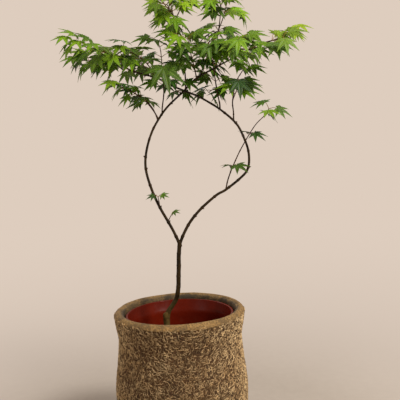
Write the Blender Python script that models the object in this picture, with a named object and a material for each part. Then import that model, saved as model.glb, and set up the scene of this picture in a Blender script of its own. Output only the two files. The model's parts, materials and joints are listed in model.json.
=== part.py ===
"""A young Japanese maple trained as a bonsai, in a grow pot that stands inside a tall rough planter.

Metres, +Z up. The origin is the centre of the planter's flat foot, and the crown spreads widest along X.
Routes of wood are lists of points in millimetres: X, Y and the height above the soil's edge. Each leafy
shoot is one node, grown from a place on its parent's route. Blades are plain five-pointed plates that hang
from petioles.
"""

import math

import bpy
import bmesh
from mathutils import Matrix, Quaternion, Vector
from mathutils.bvhtree import BVHTree

MM = 0.001
UP = Vector((0.0, 0.0, 1.0))

# Planter
PLANTER_HEIGHT = 0.325
RIM_RADIUS = 0.130  # outside of the rolled lip
NECK_RADIUS = 0.1230
BELLY_RADIUS = 0.1310
FOOT_RADIUS = 0.1160
NECK_DROP = 0.060  # below the top of the lip
BELLY_DROP = 0.150
LIP_WIDTH = 0.019
PLANTER_WALL = 0.013
PLANTER_FLOOR = 0.018
FOOT_ROUNDING = 0.007
PLANTER_SEGMENTS = 40

# Grow pot that stands in the planter
LINER_DROP = 0.011  # its rim lies this far below the top of the lip
LINER_CLEARANCE = 0.0015
LINER_FLANGE = 0.0035
LINER_FLANGE_HEIGHT = 0.004
LINER_WALL = 0.002
LINER_TAPER = 0.015
DRAIN_HOLES = 6
DRAIN_HOLE_RADIUS = 0.006
DRAIN_CIRCLE_RADIUS = 0.052
LINER_SEGMENTS = 40

# Soil
SOIL_DROP = 0.115  # below the top of the lip
SOIL_MOUND = 0.006

# Tree
TREE_SCALE = 1.0  # of every route and of its wood
WOOD_SCALE = 1.0  # of every wood radius alone
LEAF_SCALE = 1.15  # of every blade
BLADE_THICKNESS = 0.0016  # at the petiole, thinning to the edge
PETIOLE_RADIUS = 0.0008
PETIOLE_SHARE = 0.50  # of the blade's length
GAP = 0.0003  # kept between neighbours that touch
LEAF_ROOM = 0.0008  # that a blade keeps clear of other wood and other blades
LIGHT_SIDE = Vector((0.05, -0.88, 0.48))  # the side that the blades turn to
ROUTE_STEPS = 2  # between two points of a route
STUMP_RADIUS = 5.9  # in millimetres, as are the next two
ROOT_RADIUS = 3.4
STUMP_DEPTH = 60.0  # below the soil's edge
ROOTS = 4

# Routes and, in STEMS, the radii at their start and end. All are in millimetres.
STUMP = [(-25, 0, -STUMP_DEPTH), (-25, 0, 0), (-26, 0, 50), (-27.5, 0, 103)]
TRUNK = [
    (-27, 0, 88), (-23, 0, 105), (-14, 0, 118), (-5, 0, 133),
    (-1, 0, 157), (1, 0, 190), (3, 0, 220), (5, 0, 248),
]
LEFT_STEM = [
    (1.9, 0, 249), (-11, -2, 277), (-30, -5, 313), (-46, -8, 352), (-56, -9, 391), (-55, -9, 424),
    (-43, -8, 464), (-27, -7, 493), (-6, -5, 520), (27, -3.2, 550), (52, -4, 573), (88, -6, 591),
]
RIGHT_STEM = [
    (8.1, 0, 249), (19, 2, 270), (33, 4, 291), (55, 7, 314), (84, 10, 337), (103, 11, 347), (133, 12, 369),
    (148, 12, 385), (153, 12, 407), (150, 11, 434), (138, 10, 466), (124, 9, 487), (97, 7, 511), (60, 5, 535),
    (27, 3.2, 550), (3, 3, 561), (-27, 0, 577), (-57, -2, 586), (-80, -3, 594),
]
STEMS = {
    "trunk": (TRUNK, 4.7, 4.2),
    "left_stem": (LEFT_STEM, 2.8, 1.7),
    "right_stem": (RIGHT_STEM, 2.8, 1.6),
}

# Each shoot: its parent, the place on the parent's route counted in its points, offsets from that place, the
# twig's radii, and its leaves as (share of the twig's length, kind, roll in degrees, blade length), with all
# lengths in millimetres. Roll turns a pair round its twig, and 0 lays it level. A "hang" leaf hangs alone.
SHOOTS = {
    "sprout_low": ("left_stem", 1.3, [(8, -3, 14)], (0.9, 0.7), [(1.0, "one", 0, 14)]),
    "sprout_mid": ("left_stem", 2.1, [(0, -6, 8), (-2, -10, 22)], (0.9, 0.7), [(1.0, "pair", 0, 15)]),
    "side_riser": (
        "right_stem", 5.0, [(6, 5, 22), (18, 8, 50), (35, 8, 83), (64, 6, 128), (84, 4, 148), (95, 2, 163)],
        (1.4, 0.8),
        [(0.30, "pair", 10, 29), (0.60, "pair", 35, 27), (0.86, "pair", 0, 30), (1.0, "pair", 80, 30)],
    ),
    "left_limb_tip": (
        "right_stem", 18.0, [(-27, -8, 15), (-60, -14, 34), (-88, -18, 46), (-112, -20, 57)],
        (1.4, 0.8),
        [(0.30, "pair", 60, 35), (0.45, "pair", 20, 35), (0.60, "pair", 75, 34), (0.74, "pair", 10, 32),
         (0.87, "pair", 70, 30), (1.0, "pair", 0, 30)],
    ),
    "left_limb_low": (
        "right_stem", 17.3, [(-22, 22, 14), (-60, 40, 30), (-102, 48, 42), (-130, 50, 46)], (1.2, 0.8),
        [(0.28, "pair", 20, 34), (0.46, "pair", 60, 34), (0.64, "pair", 10, 33), (0.82, "pair", 70, 32),
         (1.0, "pair", 0, 31)],
    ),
    "left_limb_front": (
        "right_stem", 17.6, [(-12, -22, 12), (-38, -46, 22), (-66, -64, 26)], (1.2, 0.8),
        [(0.40, "pair", 0, 35), (0.60, "pair", 50, 34), (0.80, "pair", 10, 33), (1.0, "pair", 20, 33)],
    ),
    "left_limb_back": (
        "right_stem", 16.6, [(-8, 26, 24), (-24, 58, 44), (-44, 88, 52)], (1.2, 0.8),
        [(0.36, "pair", 30, 34), (0.58, "pair", 80, 33), (0.79, "pair", 20, 33), (1.0, "pair", 60, 33)],
    ),
    "left_limb_mid": (
        "right_stem", 16.2, [(-8, -14, 18), (-26, -28, 34), (-54, -38, 46)], (1.2, 0.8),
        [(0.38, "pair", 10, 34), (0.59, "pair", 70, 33), (0.80, "pair", 20, 33), (1.0, "pair", 50, 33)],
    ),
    "front_leaf": ("right_stem", 15.6, [(-3, -20, 4), (-8, -36, 4)], (1.1, 0.9), [(1.0, "hang", 0, 54)]),
    "left_spray": (
        "left_stem", 7.0, [(-11, -6, 19), (-29, -12, 40), (-56, -20, 56), (-80, -26, 67)], (1.3, 0.8),
        [(0.43, "pair", 10, 26), (0.62, "pair", 60, 26), (0.81, "pair", 20, 27), (1.0, "pair", 0, 28)],
    ),
    "left_spray_back": (
        "left_stem", 6.9, [(-10, 18, 26), (-30, 38, 54), (-50, 52, 68)], (1.2, 0.8),
        [(0.55, "pair", 0, 28), (0.78, "pair", 60, 27), (1.0, "pair", 30, 28)],
    ),
    "left_riser": (
        "left_stem", 7.4, [(0, 5, 12), (4, 10, 47), (2, 16, 87), (0, 20, 132), (-6, 20, 154)], (1.3, 0.8),
        [(0.46, "pair", 20, 32), (0.60, "pair", 70, 33), (0.74, "pair", 10, 34), (0.87, "pair", 80, 34),
         (1.0, "pair", 30, 34)],
    ),
    "dark_spray": (
        "right_stem", 15.0, [(4, 18, -3), (14, 34, -8)], (1.1, 0.8),
        [(0.7, "pair", 20, 28), (1.0, "one", 0, 30)],
    ),
    "dark_spray_front": ("right_stem", 14.7, [(2, -20, 8), (6, -34, 4)], (1.1, 0.8), [(1.0, "pair", 0, 30)]),
    "centre_riser": (
        "left_stem", 9.1,
        [(0, -4, 27), (-2, -6, 46), (-9, -6, 92), (-16, -4, 133), (-23, 0, 168), (-25, 2, 204)],
        (1.5, 0.8),
        [(0.31, "pair", 20, 33), (0.42, "pair", 70, 34), (0.54, "pair", 30, 35), (0.66, "pair", 80, 33),
         (0.78, "pair", 10, 31), (0.89, "pair", 60, 30), (1.0, "pair", 70, 29)],
    ),
    "crown_left_front": (
        "centre_riser", 3.4, [(-4, -22, 16), (-10, -44, 28), (-16, -60, 34)], (1.1, 0.8),
        [(0.38, "pair", 0, 33), (0.60, "pair", 60, 32), (0.80, "pair", 10, 31), (1.0, "pair", 20, 31)],
    ),
    "crown_left_back": (
        "centre_riser", 3.8, [(-4, 24, 18), (-12, 52, 34), (-18, 74, 40)], (1.1, 0.8),
        [(0.38, "pair", 10, 34), (0.60, "pair", 70, 33), (0.80, "pair", 20, 32), (1.0, "pair", 50, 32)],
    ),
    "crown_left_side": (
        "centre_riser", 4.3, [(-10, -6, 14), (-20, -10, 26), (-26, -12, 30)], (1.1, 0.8),
        [(0.6, "pair", 50, 27), (1.0, "pair", 0, 27)],
    ),
    "crown_left_right": (
        "centre_riser", 4.1, [(10, -10, 14), (16, -18, 24), (20, -22, 28)], (1.1, 0.8),
        [(0.6, "pair", 30, 28), (1.0, "pair", 0, 27)],
    ),
    "crown_left_top": (
        "centre_riser", 5.4, [(10, 8, 22), (18, 14, 46), (20, 16, 60)], (1.0, 0.7),
        [(0.35, "pair", 60, 28), (0.68, "pair", 0, 28), (1.0, "pair", 70, 27)],
    ),
    "heart_front": (
        "left_stem", 10.0, [(-4, -18, 18), (-10, -38, 40), (-14, -58, 60)], (1.2, 0.8),
        [(0.34, "pair", 0, 35), (0.51, "pair", 60, 35), (0.68, "pair", 10, 34), (0.84, "pair", 70, 34),
         (1.0, "pair", 30, 34)],
    ),
    "heart_back": (
        "left_stem", 10.2, [(5, 16, 18), (14, 38, 44), (20, 62, 66)], (1.2, 0.8),
        [(0.36, "pair", 20, 35), (0.58, "pair", 80, 34), (0.79, "pair", 10, 34), (1.0, "pair", 60, 34)],
    ),
    "right_limb": (
        "left_stem", 11.0,
        [(17, -2, 8), (54, -5, 25), (91, -7, 42), (125, -8, 51), (148, -8, 62), (156, -8, 67)],
        (1.5, 0.8),
        [(0.22, "pair", 60, 35), (0.42, "pair", 20, 33), (0.62, "pair", 70, 31), (0.81, "pair", 30, 30),
         (1.0, "pair", 0, 31)],
    ),
    "right_limb_low": (
        "right_limb", 2.4, [(14, -18, -2), (36, -38, 2), (58, -52, 2)], (1.1, 0.8),
        [(0.42, "pair", 0, 33), (0.72, "pair", 60, 32), (1.0, "pair", 40, 33)],
    ),
    "right_limb_back": (
        "right_limb", 1.6, [(8, 24, 16), (24, 56, 34), (38, 84, 44)], (1.2, 0.8),
        [(0.36, "pair", 20, 35), (0.58, "pair", 80, 34), (0.79, "pair", 10, 33), (1.0, "pair", 60, 33)],
    ),
    "right_limb_front": (
        "right_limb", 0.7, [(8, -24, 10), (22, -50, 20), (36, -74, 24)], (1.2, 0.8),
        [(0.36, "pair", 10, 35), (0.58, "pair", 60, 34), (0.79, "pair", 20, 34), (1.0, "pair", 40, 34)],
    ),
    "right_riser": (
        "right_stem", 12.0,
        [(0, 2, 11), (-3, 4, 30), (-7, 5, 62), (-10, 6, 98),
         (-6, 6, 139), (12, 4, 182), (23, 2, 218), (28, 0, 242)],
        (1.5, 0.8),
        [(0.36, "pair", 20, 33), (0.47, "pair", 70, 34), (0.58, "pair", 30, 35), (0.69, "pair", 80, 33),
         (0.80, "pair", 20, 32), (0.90, "pair", 60, 31), (1.0, "pair", 70, 29)],
    ),
    "riser_low": (
        "right_riser", 2.4, [(-8, 20, 4), (-16, 44, 4)], (1.1, 0.8),
        [(0.6, "pair", 0, 33), (1.0, "pair", 40, 33)],
    ),
    "riser_front": (
        "right_riser", 3.5, [(-4, -24, 14), (-10, -50, 28), (-12, -74, 34)], (1.1, 0.8),
        [(0.36, "pair", 0, 35), (0.58, "pair", 60, 34), (0.79, "pair", 10, 34), (1.0, "pair", 30, 34)],
    ),
    "crown_right_back": (
        "right_riser", 5.2, [(4, 26, 18), (10, 54, 32), (18, 78, 36)], (1.1, 0.8),
        [(0.38, "pair", 10, 33), (0.60, "pair", 70, 31), (0.80, "pair", 20, 31), (1.0, "pair", 50, 30)],
    ),
    "crown_right_front": (
        "right_riser", 5.6, [(2, -24, 14), (2, -50, 26), (-2, -70, 30)], (1.1, 0.8),
        [(0.38, "pair", 0, 32), (0.60, "pair", 60, 31), (0.80, "pair", 10, 30), (1.0, "pair", 40, 30)],
    ),
    "crown_right_side": (
        "right_riser", 6.2, [(12, 8, 12), (22, 12, 20), (30, 12, 20)], (1.0, 0.7),
        [(0.6, "pair", 30, 28), (1.0, "pair", 0, 28)],
    ),
    "crown_right_top": (
        "right_riser", 7.3, [(-12, -6, 20), (-22, -8, 44), (-26, -8, 58)], (1.0, 0.7),
        [(0.35, "pair", 60, 28), (0.68, "pair", 20, 28), (1.0, "pair", 80, 27)],
    ),
    "green_twig": (
        "right_stem", 11.0, [(1, 5, 19), (0, 9, 39), (4, 12, 62), (10, 14, 84), (27, 16, 110)], (1.5, 0.9),
        [(0.55, "pair", 0, 35), (0.80, "pair", 60, 34), (1.0, "pair", 10, 34)],
    ),
    "green_hanging": (
        "green_twig", 2.2, [(6, -18, 14), (8, -32, 20)], (1.0, 0.8),
        [(0.9, "pair", 0, 34), (1.0, "hang", 0, 38)],
    ),
}

# The blade, as (angle from the midrib in degrees, distance from the petiole as a share of its length)
LOBES = [(0, 1.0), (40, 0.90), (82, 0.68)]
NOTCHES = [(19, 0.41), (60, 0.37)]
BLADE_HEEL = (0.055, -0.035)  # where the edge meets the petiole
KNEE = 0.15  # from the blade back to the bend in its petiole
BLADE_DROOP = 0.14
LEAF_FALL = 24  # of a midrib below the level, in degrees
# Turns in degrees round the twig and down from the petiole, and sizes, that a leaf tries until it hangs clear
LEAF_TURNS = (0, 14, -14, 28, -28, 45, -45, 65, -65, 90, -90, 120, -120)
LEAF_DIPS = (0, 16, -16, 34)
LEAF_SIZES = (1.0, 0.86, 0.72, 0.58)
SHARPEST_BEND = math.radians(85)  # of a petiole into its blade


def material(name, colour, roughness, metallic=0.0):
    made = bpy.data.materials.new(name)
    made.use_nodes = True
    shader = made.node_tree.nodes["Principled BSDF"]
    shader.inputs["Base Color"].default_value = (*colour, 1.0)
    shader.inputs["Roughness"].default_value = roughness
    shader.inputs["Metallic"].default_value = metallic
    made.diffuse_color = (*colour, 1.0)
    return made


def place(name, mesh, look=None, collection=None):
    node = bpy.data.objects.new(name, mesh)
    (collection or bpy.context.scene.collection).objects.link(node)
    if look:
        mesh.materials.append(look)
    return node


def lathe(name, profile, segments, look):
    """A round piece. Its profile, in (radius, height) points, runs from the axis and back to the axis."""
    shape = bmesh.new()
    corners = [shape.verts.new((r, 0.0, z)) for r, z in profile]
    for a, b in zip(corners, corners[1:]):
        shape.edges.new((a, b))
    mesh = bpy.data.meshes.new(name)
    shape.to_mesh(mesh)
    shape.free()
    node = place(name, mesh, look)
    turn = node.modifiers.new("revolve", "SCREW")
    turn.axis = "Z"
    turn.angle = math.tau
    turn.steps = segments
    turn.render_steps = segments
    turn.use_merge_vertices = True
    turn.merge_threshold = 0.00001
    turn.use_smooth_shade = True
    return node


def cut_away(node, cutter, name):
    cutter.hide_render = True
    cutter.display_type = "WIRE"
    cut = node.modifiers.new(name, "BOOLEAN")
    cut.operation = "DIFFERENCE"
    cut.solver = "EXACT"
    cut.object = cutter


def arc(centre_r, centre_z, radius, start, end, steps):
    """Points of a circular arc in the profile's plane, from one angle to another in degrees."""
    points = []
    for k in range(steps + 1):
        angle = math.radians(start + (end - start) * k / steps)
        points.append((centre_r + radius * math.cos(angle), centre_z + radius * math.sin(angle)))
    return points


def smooth_route(points, steps=ROUTE_STEPS):
    """A curve through the points, with this many steps between each two of them."""
    if len(points) == 2:
        return [points[0].lerp(points[1], k / steps) for k in range(steps + 1)]
    ends = [points[0] * 2 - points[1]] + points + [points[-1] * 2 - points[-2]]
    route = []
    for i in range(1, len(ends) - 2):
        before, a, b, after = ends[i - 1 : i + 3]
        for k in range(steps):
            t = k / steps
            curve = (a * 2 + (b - before) * t + (before * 2 - a * 5 + b * 4 - after) * t * t)
            route.append((curve + (a * 3 - before - b * 3 + after) * t * t * t) * 0.5)
    return route + [points[-1]]


def at_place(route, where):
    """The point and the direction at a place on a smooth route, counted in its steps."""
    i = min(int(where), len(route) - 2)
    return route[i].lerp(route[i + 1], where - i), (route[i + 1] - route[i]).normalized()


def tube(name, route, start_radius, end_radius, rounding):
    """A round tapering rod along a route, as a closed mesh."""
    curve = bpy.data.curves.new(name, "CURVE")
    curve.dimensions = "3D"
    curve.bevel_depth = 1.0
    curve.bevel_resolution = rounding
    curve.use_fill_caps = True
    spline = curve.splines.new("POLY")
    spline.points.add(len(route) - 1)
    for k, (point, target) in enumerate(zip(spline.points, route)):
        point.co = (*target, 1.0)
        point.radius = start_radius + (end_radius - start_radius) * k / (len(route) - 1)
    holder = bpy.data.objects.new(name, curve)
    mesh = bpy.data.meshes.new_from_object(holder)
    bpy.data.objects.remove(holder)
    bpy.data.curves.remove(curve)
    shape = bmesh.new()
    shape.from_mesh(mesh)
    bmesh.ops.remove_doubles(shape, verts=shape.verts, dist=0.00001)
    bmesh.ops.recalc_face_normals(shape, faces=shape.faces)
    for face in shape.faces:
        face.smooth = len(face.verts) == 4
    shape.to_mesh(mesh)
    shape.free()
    mesh.name = name
    return mesh


def join_to(node, name, meshes):
    """Unites closed meshes with a node, so that they are one body."""
    group = bpy.data.collections.new(name)
    bpy.context.scene.collection.children.link(group)
    for k, mesh in enumerate(meshes):
        helper = place(f"{name}_{k:02d}", mesh, collection=group)
        helper.hide_render = True
        helper.display_type = "WIRE"
    grown = node.modifiers.new(name, "BOOLEAN")
    grown.operation = "UNION"
    grown.solver = "EXACT"
    grown.operand_type = "COLLECTION"
    grown.collection = group


def leaf_shape(root, spot, length, thickness, stalk):
    """The corners of a leaf, and the faces of its blade and of its petiole. The blade thins from the petiole
    to its edge. The petiole's end is at the origin of spot, and the midrib runs along spot's Y."""
    outline = []
    for k, (angle, reach) in enumerate(LOBES):
        outline.append((angle, reach))
        outline += NOTCHES[k : k + 1]
    outline = [(-a, r) for a, r in outline[:0:-1]] + outline
    heel_x, heel_y = (share * length for share in BLADE_HEEL)
    left, right = Vector((-heel_x, heel_y, 0.0)), Vector((heel_x, heel_y, 0.0))
    edge = []
    for angle, reach in outline:
        turn = math.radians(angle)
        out = Vector((math.sin(turn) * reach, math.cos(turn) * reach, -BLADE_DROOP * reach * reach))
        edge.append(out * length)
    lift = Vector((0.0, 0.0, thickness / 2))
    corners = [spot @ v for v in [lift, -lift, left] + edge + [right]]
    last = len(corners) - 1
    flesh = []
    for k in range(2, last):
        flesh += [(0, k + 1, k), (1, k, k + 1)]
    across, midrib, face = spot.to_3x3().transposed()
    knee = spot @ Vector((0.0, -KNEE * length, 0.0))
    bend = midrib.rotation_difference(knee - root)
    for centre, turned in ((knee, bend.slerp(Quaternion(), 0.5)), (root, bend)):
        corners += [centre + turned @ side * stalk for side in (face, -across, -face, across)]
    rings = [(0, 2, 1, last), tuple(range(last + 1, last + 5)), tuple(range(last + 5, last + 9))]
    skin = [rings[2]]
    for near, far in zip(rings, rings[1:]):
        for k in range(4):
            after = (k + 1) % 4
            skin += [(near[k], near[after], far[after]), (near[k], far[after], far[k])]
    return corners, flesh, skin


def leaf_mesh(name, corners, faces):
    mesh = bpy.data.meshes.new(name)
    mesh.from_pydata(corners, [], faces)
    shape = bmesh.new()
    shape.from_mesh(mesh)
    bmesh.ops.recalc_face_normals(shape, faces=shape.faces)
    shape.to_mesh(mesh)
    shape.free()
    return mesh


def leaf_spot(root, along, kind, sign, roll, length, turn, dip):
    """Where a leaf hangs: its petiole's root, and the matrix of its blade."""
    level = along.cross(UP)
    level = level.normalized() if level.length > 0.35 else Vector((1.0, 0.0, 0.0))
    side = Matrix.Rotation(math.radians(roll + turn * sign), 3, along) @ level
    if kind == "pair":
        reach = (along * 0.62 + side * sign).normalized()
    elif kind == "one":
        reach = (along + side * math.sin(math.radians(turn)) * 1.6).normalized()
    else:
        reach = (Vector((math.sin(math.radians(turn)), -0.5, 0.25)) + along * 0.3).normalized()
    reach.z *= 0.65
    reach.normalize()
    end = root + reach * length * PETIOLE_SHARE
    flat = Vector((reach.x, reach.y, 0.0)) + Vector((end.x, end.y, 0.0)).normalized() * 0.25
    flat.normalize()
    fall = math.radians(LEAF_FALL + dip + 30 * max(0.0, -flat.y) - 40 * reach.z)
    pull = LIGHT_SIDE + UP * 0.3 + flat * 0.3
    if kind == "hang":
        fall = math.radians(80 - dip)
        pull = Vector((0.1, -1.0, 0.1))
    midrib = (flat * math.cos(fall) - UP * math.sin(fall) + reach * 0.25).normalized()
    face = (pull - midrib * pull.dot(midrib)).normalized()
    across = midrib.cross(face)
    spot = Matrix.Translation(end) @ Matrix((across, midrib, face)).transposed().to_4x4()
    return root - along * 0.0004 * sign, spot


class Thing:
    """A mesh that leaves keep clear of."""

    def __init__(self, owner, kind, corners, faces):
        self.owner = owner
        self.kind = kind
        self.tree = BVHTree.FromPolygons(corners, faces)
        self.low = [min(c[k] for c in corners) for k in range(3)]
        self.high = [max(c[k] for c in corners) for k in range(3)]

    @classmethod
    def of_mesh(cls, owner, kind, mesh):
        return cls(owner, kind, [v.co for v in mesh.vertices], [list(p.vertices) for p in mesh.polygons])

    def meets(self, other):
        if any(self.low[k] > other.high[k] or other.low[k] > self.high[k] for k in range(3)):
            return False
        return bool(self.tree.overlap(other.tree))


def hang_leaf(owner, label, things, root, along, kind, sign, roll, length):
    """A leaf's petiole and blade in the first of its poses that hangs clear of everything else."""
    for size in LEAF_SIZES:
        for dip in LEAF_DIPS:
            for turn in LEAF_TURNS:
                long = length * size
                start, spot = leaf_spot(root, along, kind, sign, roll, long, turn, dip)
                if (spot.translation - start).angle(spot.to_3x3().col[1]) > SHARPEST_BEND:
                    continue
                thick, stalk = BLADE_THICKNESS + 2 * LEAF_ROOM, PETIOLE_RADIUS + LEAF_ROOM
                corners, flesh, skin = leaf_shape(start, spot, long * 1.02, thick, stalk)
                blade = Thing(owner, "blade", corners, flesh)
                petiole = Thing(owner, "petiole", corners, skin)
                clear = True
                for other in things:
                    mine = other.owner == owner and other.kind in ("twig", "petiole")
                    if blade.meets(other) or (not mine and petiole.meets(other)):
                        clear = False
                        break
                if clear:
                    things += [blade, petiole]
                    corners, flesh, skin = leaf_shape(start, spot, long, BLADE_THICKNESS, PETIOLE_RADIUS)
                    return [leaf_mesh(label, corners, flesh + skin)]
    return []


for old in list(bpy.data.objects):
    bpy.data.objects.remove(old)

clay = material("rough_clay", (0.148, 0.078, 0.027), 0.9)
plastic = material("oxblood_plastic", (0.065, 0.007, 0.003), 0.18)
earth = material("potting_soil", (0.035, 0.024, 0.016), 0.95)
bark = material("maple_bark", (0.045, 0.032, 0.022), 0.75)
leafy = material("maple_leaf", (0.075, 0.172, 0.012), 0.45)

# Planter: a tall vessel with a drawn-in neck under a thick rolled lip
lip = LIP_WIDTH / 2
lip_centre = RIM_RADIUS - lip
lip_z = PLANTER_HEIGHT - lip
neck_z = PLANTER_HEIGHT - NECK_DROP
belly_z = PLANTER_HEIGHT - BELLY_DROP
inner_lip = RIM_RADIUS - LIP_WIDTH
neck_bore = min(inner_lip, NECK_RADIUS - PLANTER_WALL)
foot_bore = FOOT_RADIUS - PLANTER_WALL
foot_top = FOOT_ROUNDING
outer = arc(lip_centre, lip_z, lip, 180, 0, 8)
outer += [
    (RIM_RADIUS - 0.0008, lip_z - 0.006),
    ((RIM_RADIUS + NECK_RADIUS) / 2 + 0.0006, lip_z - 0.020),
    (NECK_RADIUS + 0.0012, neck_z + 0.016),
    (NECK_RADIUS, neck_z),
    ((NECK_RADIUS + BELLY_RADIUS) / 2, (neck_z + belly_z) / 2),
    (BELLY_RADIUS - 0.0010, belly_z + 0.020),
    (BELLY_RADIUS, belly_z - 0.015),
    (BELLY_RADIUS * 0.6 + FOOT_RADIUS * 0.4, belly_z * 0.45),
    (FOOT_RADIUS + 0.0015, foot_top + 0.016),
]
outer += arc(FOOT_RADIUS - FOOT_ROUNDING, foot_top, FOOT_ROUNDING, 0, -90, 3)
inner = [
    (0.0, PLANTER_FLOOR),
    (foot_bore, PLANTER_FLOOR),
    (BELLY_RADIUS - PLANTER_WALL, belly_z),
    (neck_bore, neck_z),
]
planter = lathe("planter", inner + outer + [(0.0, 0.0)], PLANTER_SEGMENTS, clay)

# Grow pot: tapered, with a turned-out rim and drain holes
rim_z = PLANTER_HEIGHT - LINER_DROP
bottom_z = PLANTER_FLOOR + GAP
flange_radius = neck_bore - LINER_CLEARANCE
top_radius = flange_radius - LINER_FLANGE
base_radius = min(top_radius - LINER_TAPER, foot_bore - 0.004)
slope = (top_radius - base_radius) / (rim_z - bottom_z)
liner_floor = bottom_z + LINER_WALL * 1.5


def liner_bore(height):
    """The grow pot's inner radius at a height."""
    return base_radius + slope * (height - bottom_z) - LINER_WALL


liner = lathe("liner", [
    (0.0, liner_floor),
    (liner_bore(liner_floor), liner_floor),
    (liner_bore(rim_z), rim_z),
    (flange_radius, rim_z),
    (flange_radius, rim_z - LINER_FLANGE_HEIGHT),
    (top_radius - slope * LINER_FLANGE_HEIGHT, rim_z - LINER_FLANGE_HEIGHT),
    (base_radius, bottom_z),
    (0.0, bottom_z),
], LINER_SEGMENTS, plastic)
holes = bmesh.new()
for k in range(DRAIN_HOLES):
    angle = math.tau * (k + 0.5) / DRAIN_HOLES
    centre = Vector((math.cos(angle), math.sin(angle), 0.0)) * DRAIN_CIRCLE_RADIUS
    bmesh.ops.create_cone(
        holes, cap_ends=True, segments=12, radius1=DRAIN_HOLE_RADIUS, radius2=DRAIN_HOLE_RADIUS, depth=0.02,
        matrix=Matrix.Translation(centre + UP * bottom_z),
    )
hole_mesh = bpy.data.meshes.new("drain_holes")
holes.to_mesh(hole_mesh)
holes.free()
cut_away(liner, place("drain_holes", hole_mesh), "drain holes")

# Routes of the stems, in metres
soil_z = PLANTER_HEIGHT - SOIL_DROP


def in_metres(points):
    return [Vector((x, y, z)) * MM * TREE_SCALE + UP * soil_z for x, y, z in points]


wood = WOOD_SCALE * TREE_SCALE * MM
routes = {name: smooth_route(in_metres(points)) for name, (points, _, _) in STEMS.items()}
radii = {name: (start * wood, end * wood) for name, (_, start, end) in STEMS.items()}

# Trunk: the old stump with its roots, and the leader that grew from its side
stump_route = in_metres(STUMP)
stump_z = stump_route[0].z
root_routes = []
for k in range(ROOTS):
    angle = math.tau * (k + 0.3) / ROOTS
    out = Vector((math.cos(angle), math.sin(angle), 0.0))
    start = stump_route[1] - UP * 0.012
    bend, end = start + out * 0.018 - UP * 0.008, start + out * 0.040 - UP * 0.026
    root_routes.append(smooth_route([start, bend, end], 2))


def stump_parts(extra):
    """The stump and its roots, larger by extra all round."""
    grow = extra / math.cos(math.pi / 8)
    stump = [stump_route[0] - UP * extra] + stump_route[1:]
    parts = [tube("stump", stump, STUMP_RADIUS * wood + grow, STUMP_RADIUS * wood * 0.97 + grow, 2)]
    for route in root_routes:
        end = route[-1] + (route[-1] - route[-2]).normalized() * extra
        thick, thin = ROOT_RADIUS * wood + grow, ROOT_RADIUS * wood * 0.4 + grow
        parts.append(tube("root", route[:-1] + [end], thick, thin, 1))
    return parts


stump_mesh, *root_meshes = stump_parts(0.0)
trunk = place("trunk", stump_mesh, bark)
leader_mesh = tube("leader", routes["trunk"], *radii["trunk"], 2)
join_to(trunk, "trunk_pieces", [leader_mesh] + root_meshes)

# The two stems that the trunk forks into
stem_meshes = {"trunk": leader_mesh}
for name in ("left_stem", "right_stem"):
    route = routes[name]
    end, way = at_place(routes["trunk"], len(routes["trunk"]) - 1)
    lift = GAP + radii["trunk"][1] * math.hypot(way.x, way.y)
    crotch = Vector((route[0].x, route[0].y, end.z + lift))
    stem_meshes[name] = tube(name, [crotch, crotch + UP * 0.0025] + route[1:], *radii[name], 2)
    place(name, stem_meshes[name], bark)

# Soil, with a socket that the stump and roots fill
soil_edge = liner_bore(soil_z) - GAP
soil_foot = liner_floor + GAP
soil = lathe("soil", [
    (0.0, soil_z + SOIL_MOUND),
    (soil_edge * 0.35, soil_z + SOIL_MOUND * 0.85),
    (soil_edge * 0.75, soil_z + SOIL_MOUND * 0.35),
    (soil_edge, soil_z),
    (liner_bore(soil_foot) - GAP, soil_foot),
    (0.0, soil_foot),
], LINER_SEGMENTS, earth)
socket_stump, *socket_roots = stump_parts(GAP)
socket = place("socket", socket_stump)
join_to(socket, "socket_pieces", socket_roots)
cut_away(soil, socket, "root socket")

# Twigs of the shoots: each starts just clear of its parent's side or end
twigs = {}
for name, (parent, where, offsets, ends, leaves) in SHOOTS.items():
    parent_route = routes[parent]
    index = where * ROUTE_STEPS
    at, way = at_place(parent_route, min(index, len(parent_route) - 1))
    share = min(index, len(parent_route) - 1) / (len(parent_route) - 1)
    thick = radii[parent][0] + (radii[parent][1] - radii[parent][0]) * share
    thin = ends[0] * wood
    first = Vector(offsets[0])
    lean = first.angle(way)
    if share == 1.0:
        skip = (GAP + thin * math.sin(lean)) / max(math.cos(lean), 0.3)
    else:
        skip = (thick + GAP + thin * abs(math.cos(lean))) / max(math.sin(lean), 0.35)
    points = [at + first.normalized() * skip] + [at + Vector(o) * MM * TREE_SCALE for o in offsets]
    routes[name] = smooth_route(points)
    radii[name] = (thin, ends[1] * wood)
    twigs[name] = tube(name, routes[name], *radii[name], 1)

things = [Thing.of_mesh(name, "twig", mesh) for name, mesh in {**stem_meshes, **twigs}.items()]
things.append(Thing.of_mesh("trunk", "twig", stump_mesh))

# Leaves
for name, (parent, where, offsets, ends, leaves) in SHOOTS.items():
    route = routes[name]
    grown = []
    for k, (share, kind, roll, length) in enumerate(leaves):
        root, along = at_place(route, share * (len(route) - 1) - (0.12 if share == 1.0 else 0.0))
        for sign in (1, -1) if kind == "pair" else (1,):
            long = length * MM * LEAF_SCALE
            label = f"{name}_{k}{'ab'[sign < 0]}"
            grown += hang_leaf(name, label, things, root, along, kind, sign, roll, long)
    node = place(name, twigs[name], leafy)
    join_to(node, f"{name}_leaves", grown)
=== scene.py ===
"""The looks of a potted bonsai maple: its leaves, bark, rough clay planter, glossy grow pot and soil."""

import json
import math

import bmesh
import bpy
import numpy as np
from mathutils import Matrix, Quaternion, Vector, kdtree, noise

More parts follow.
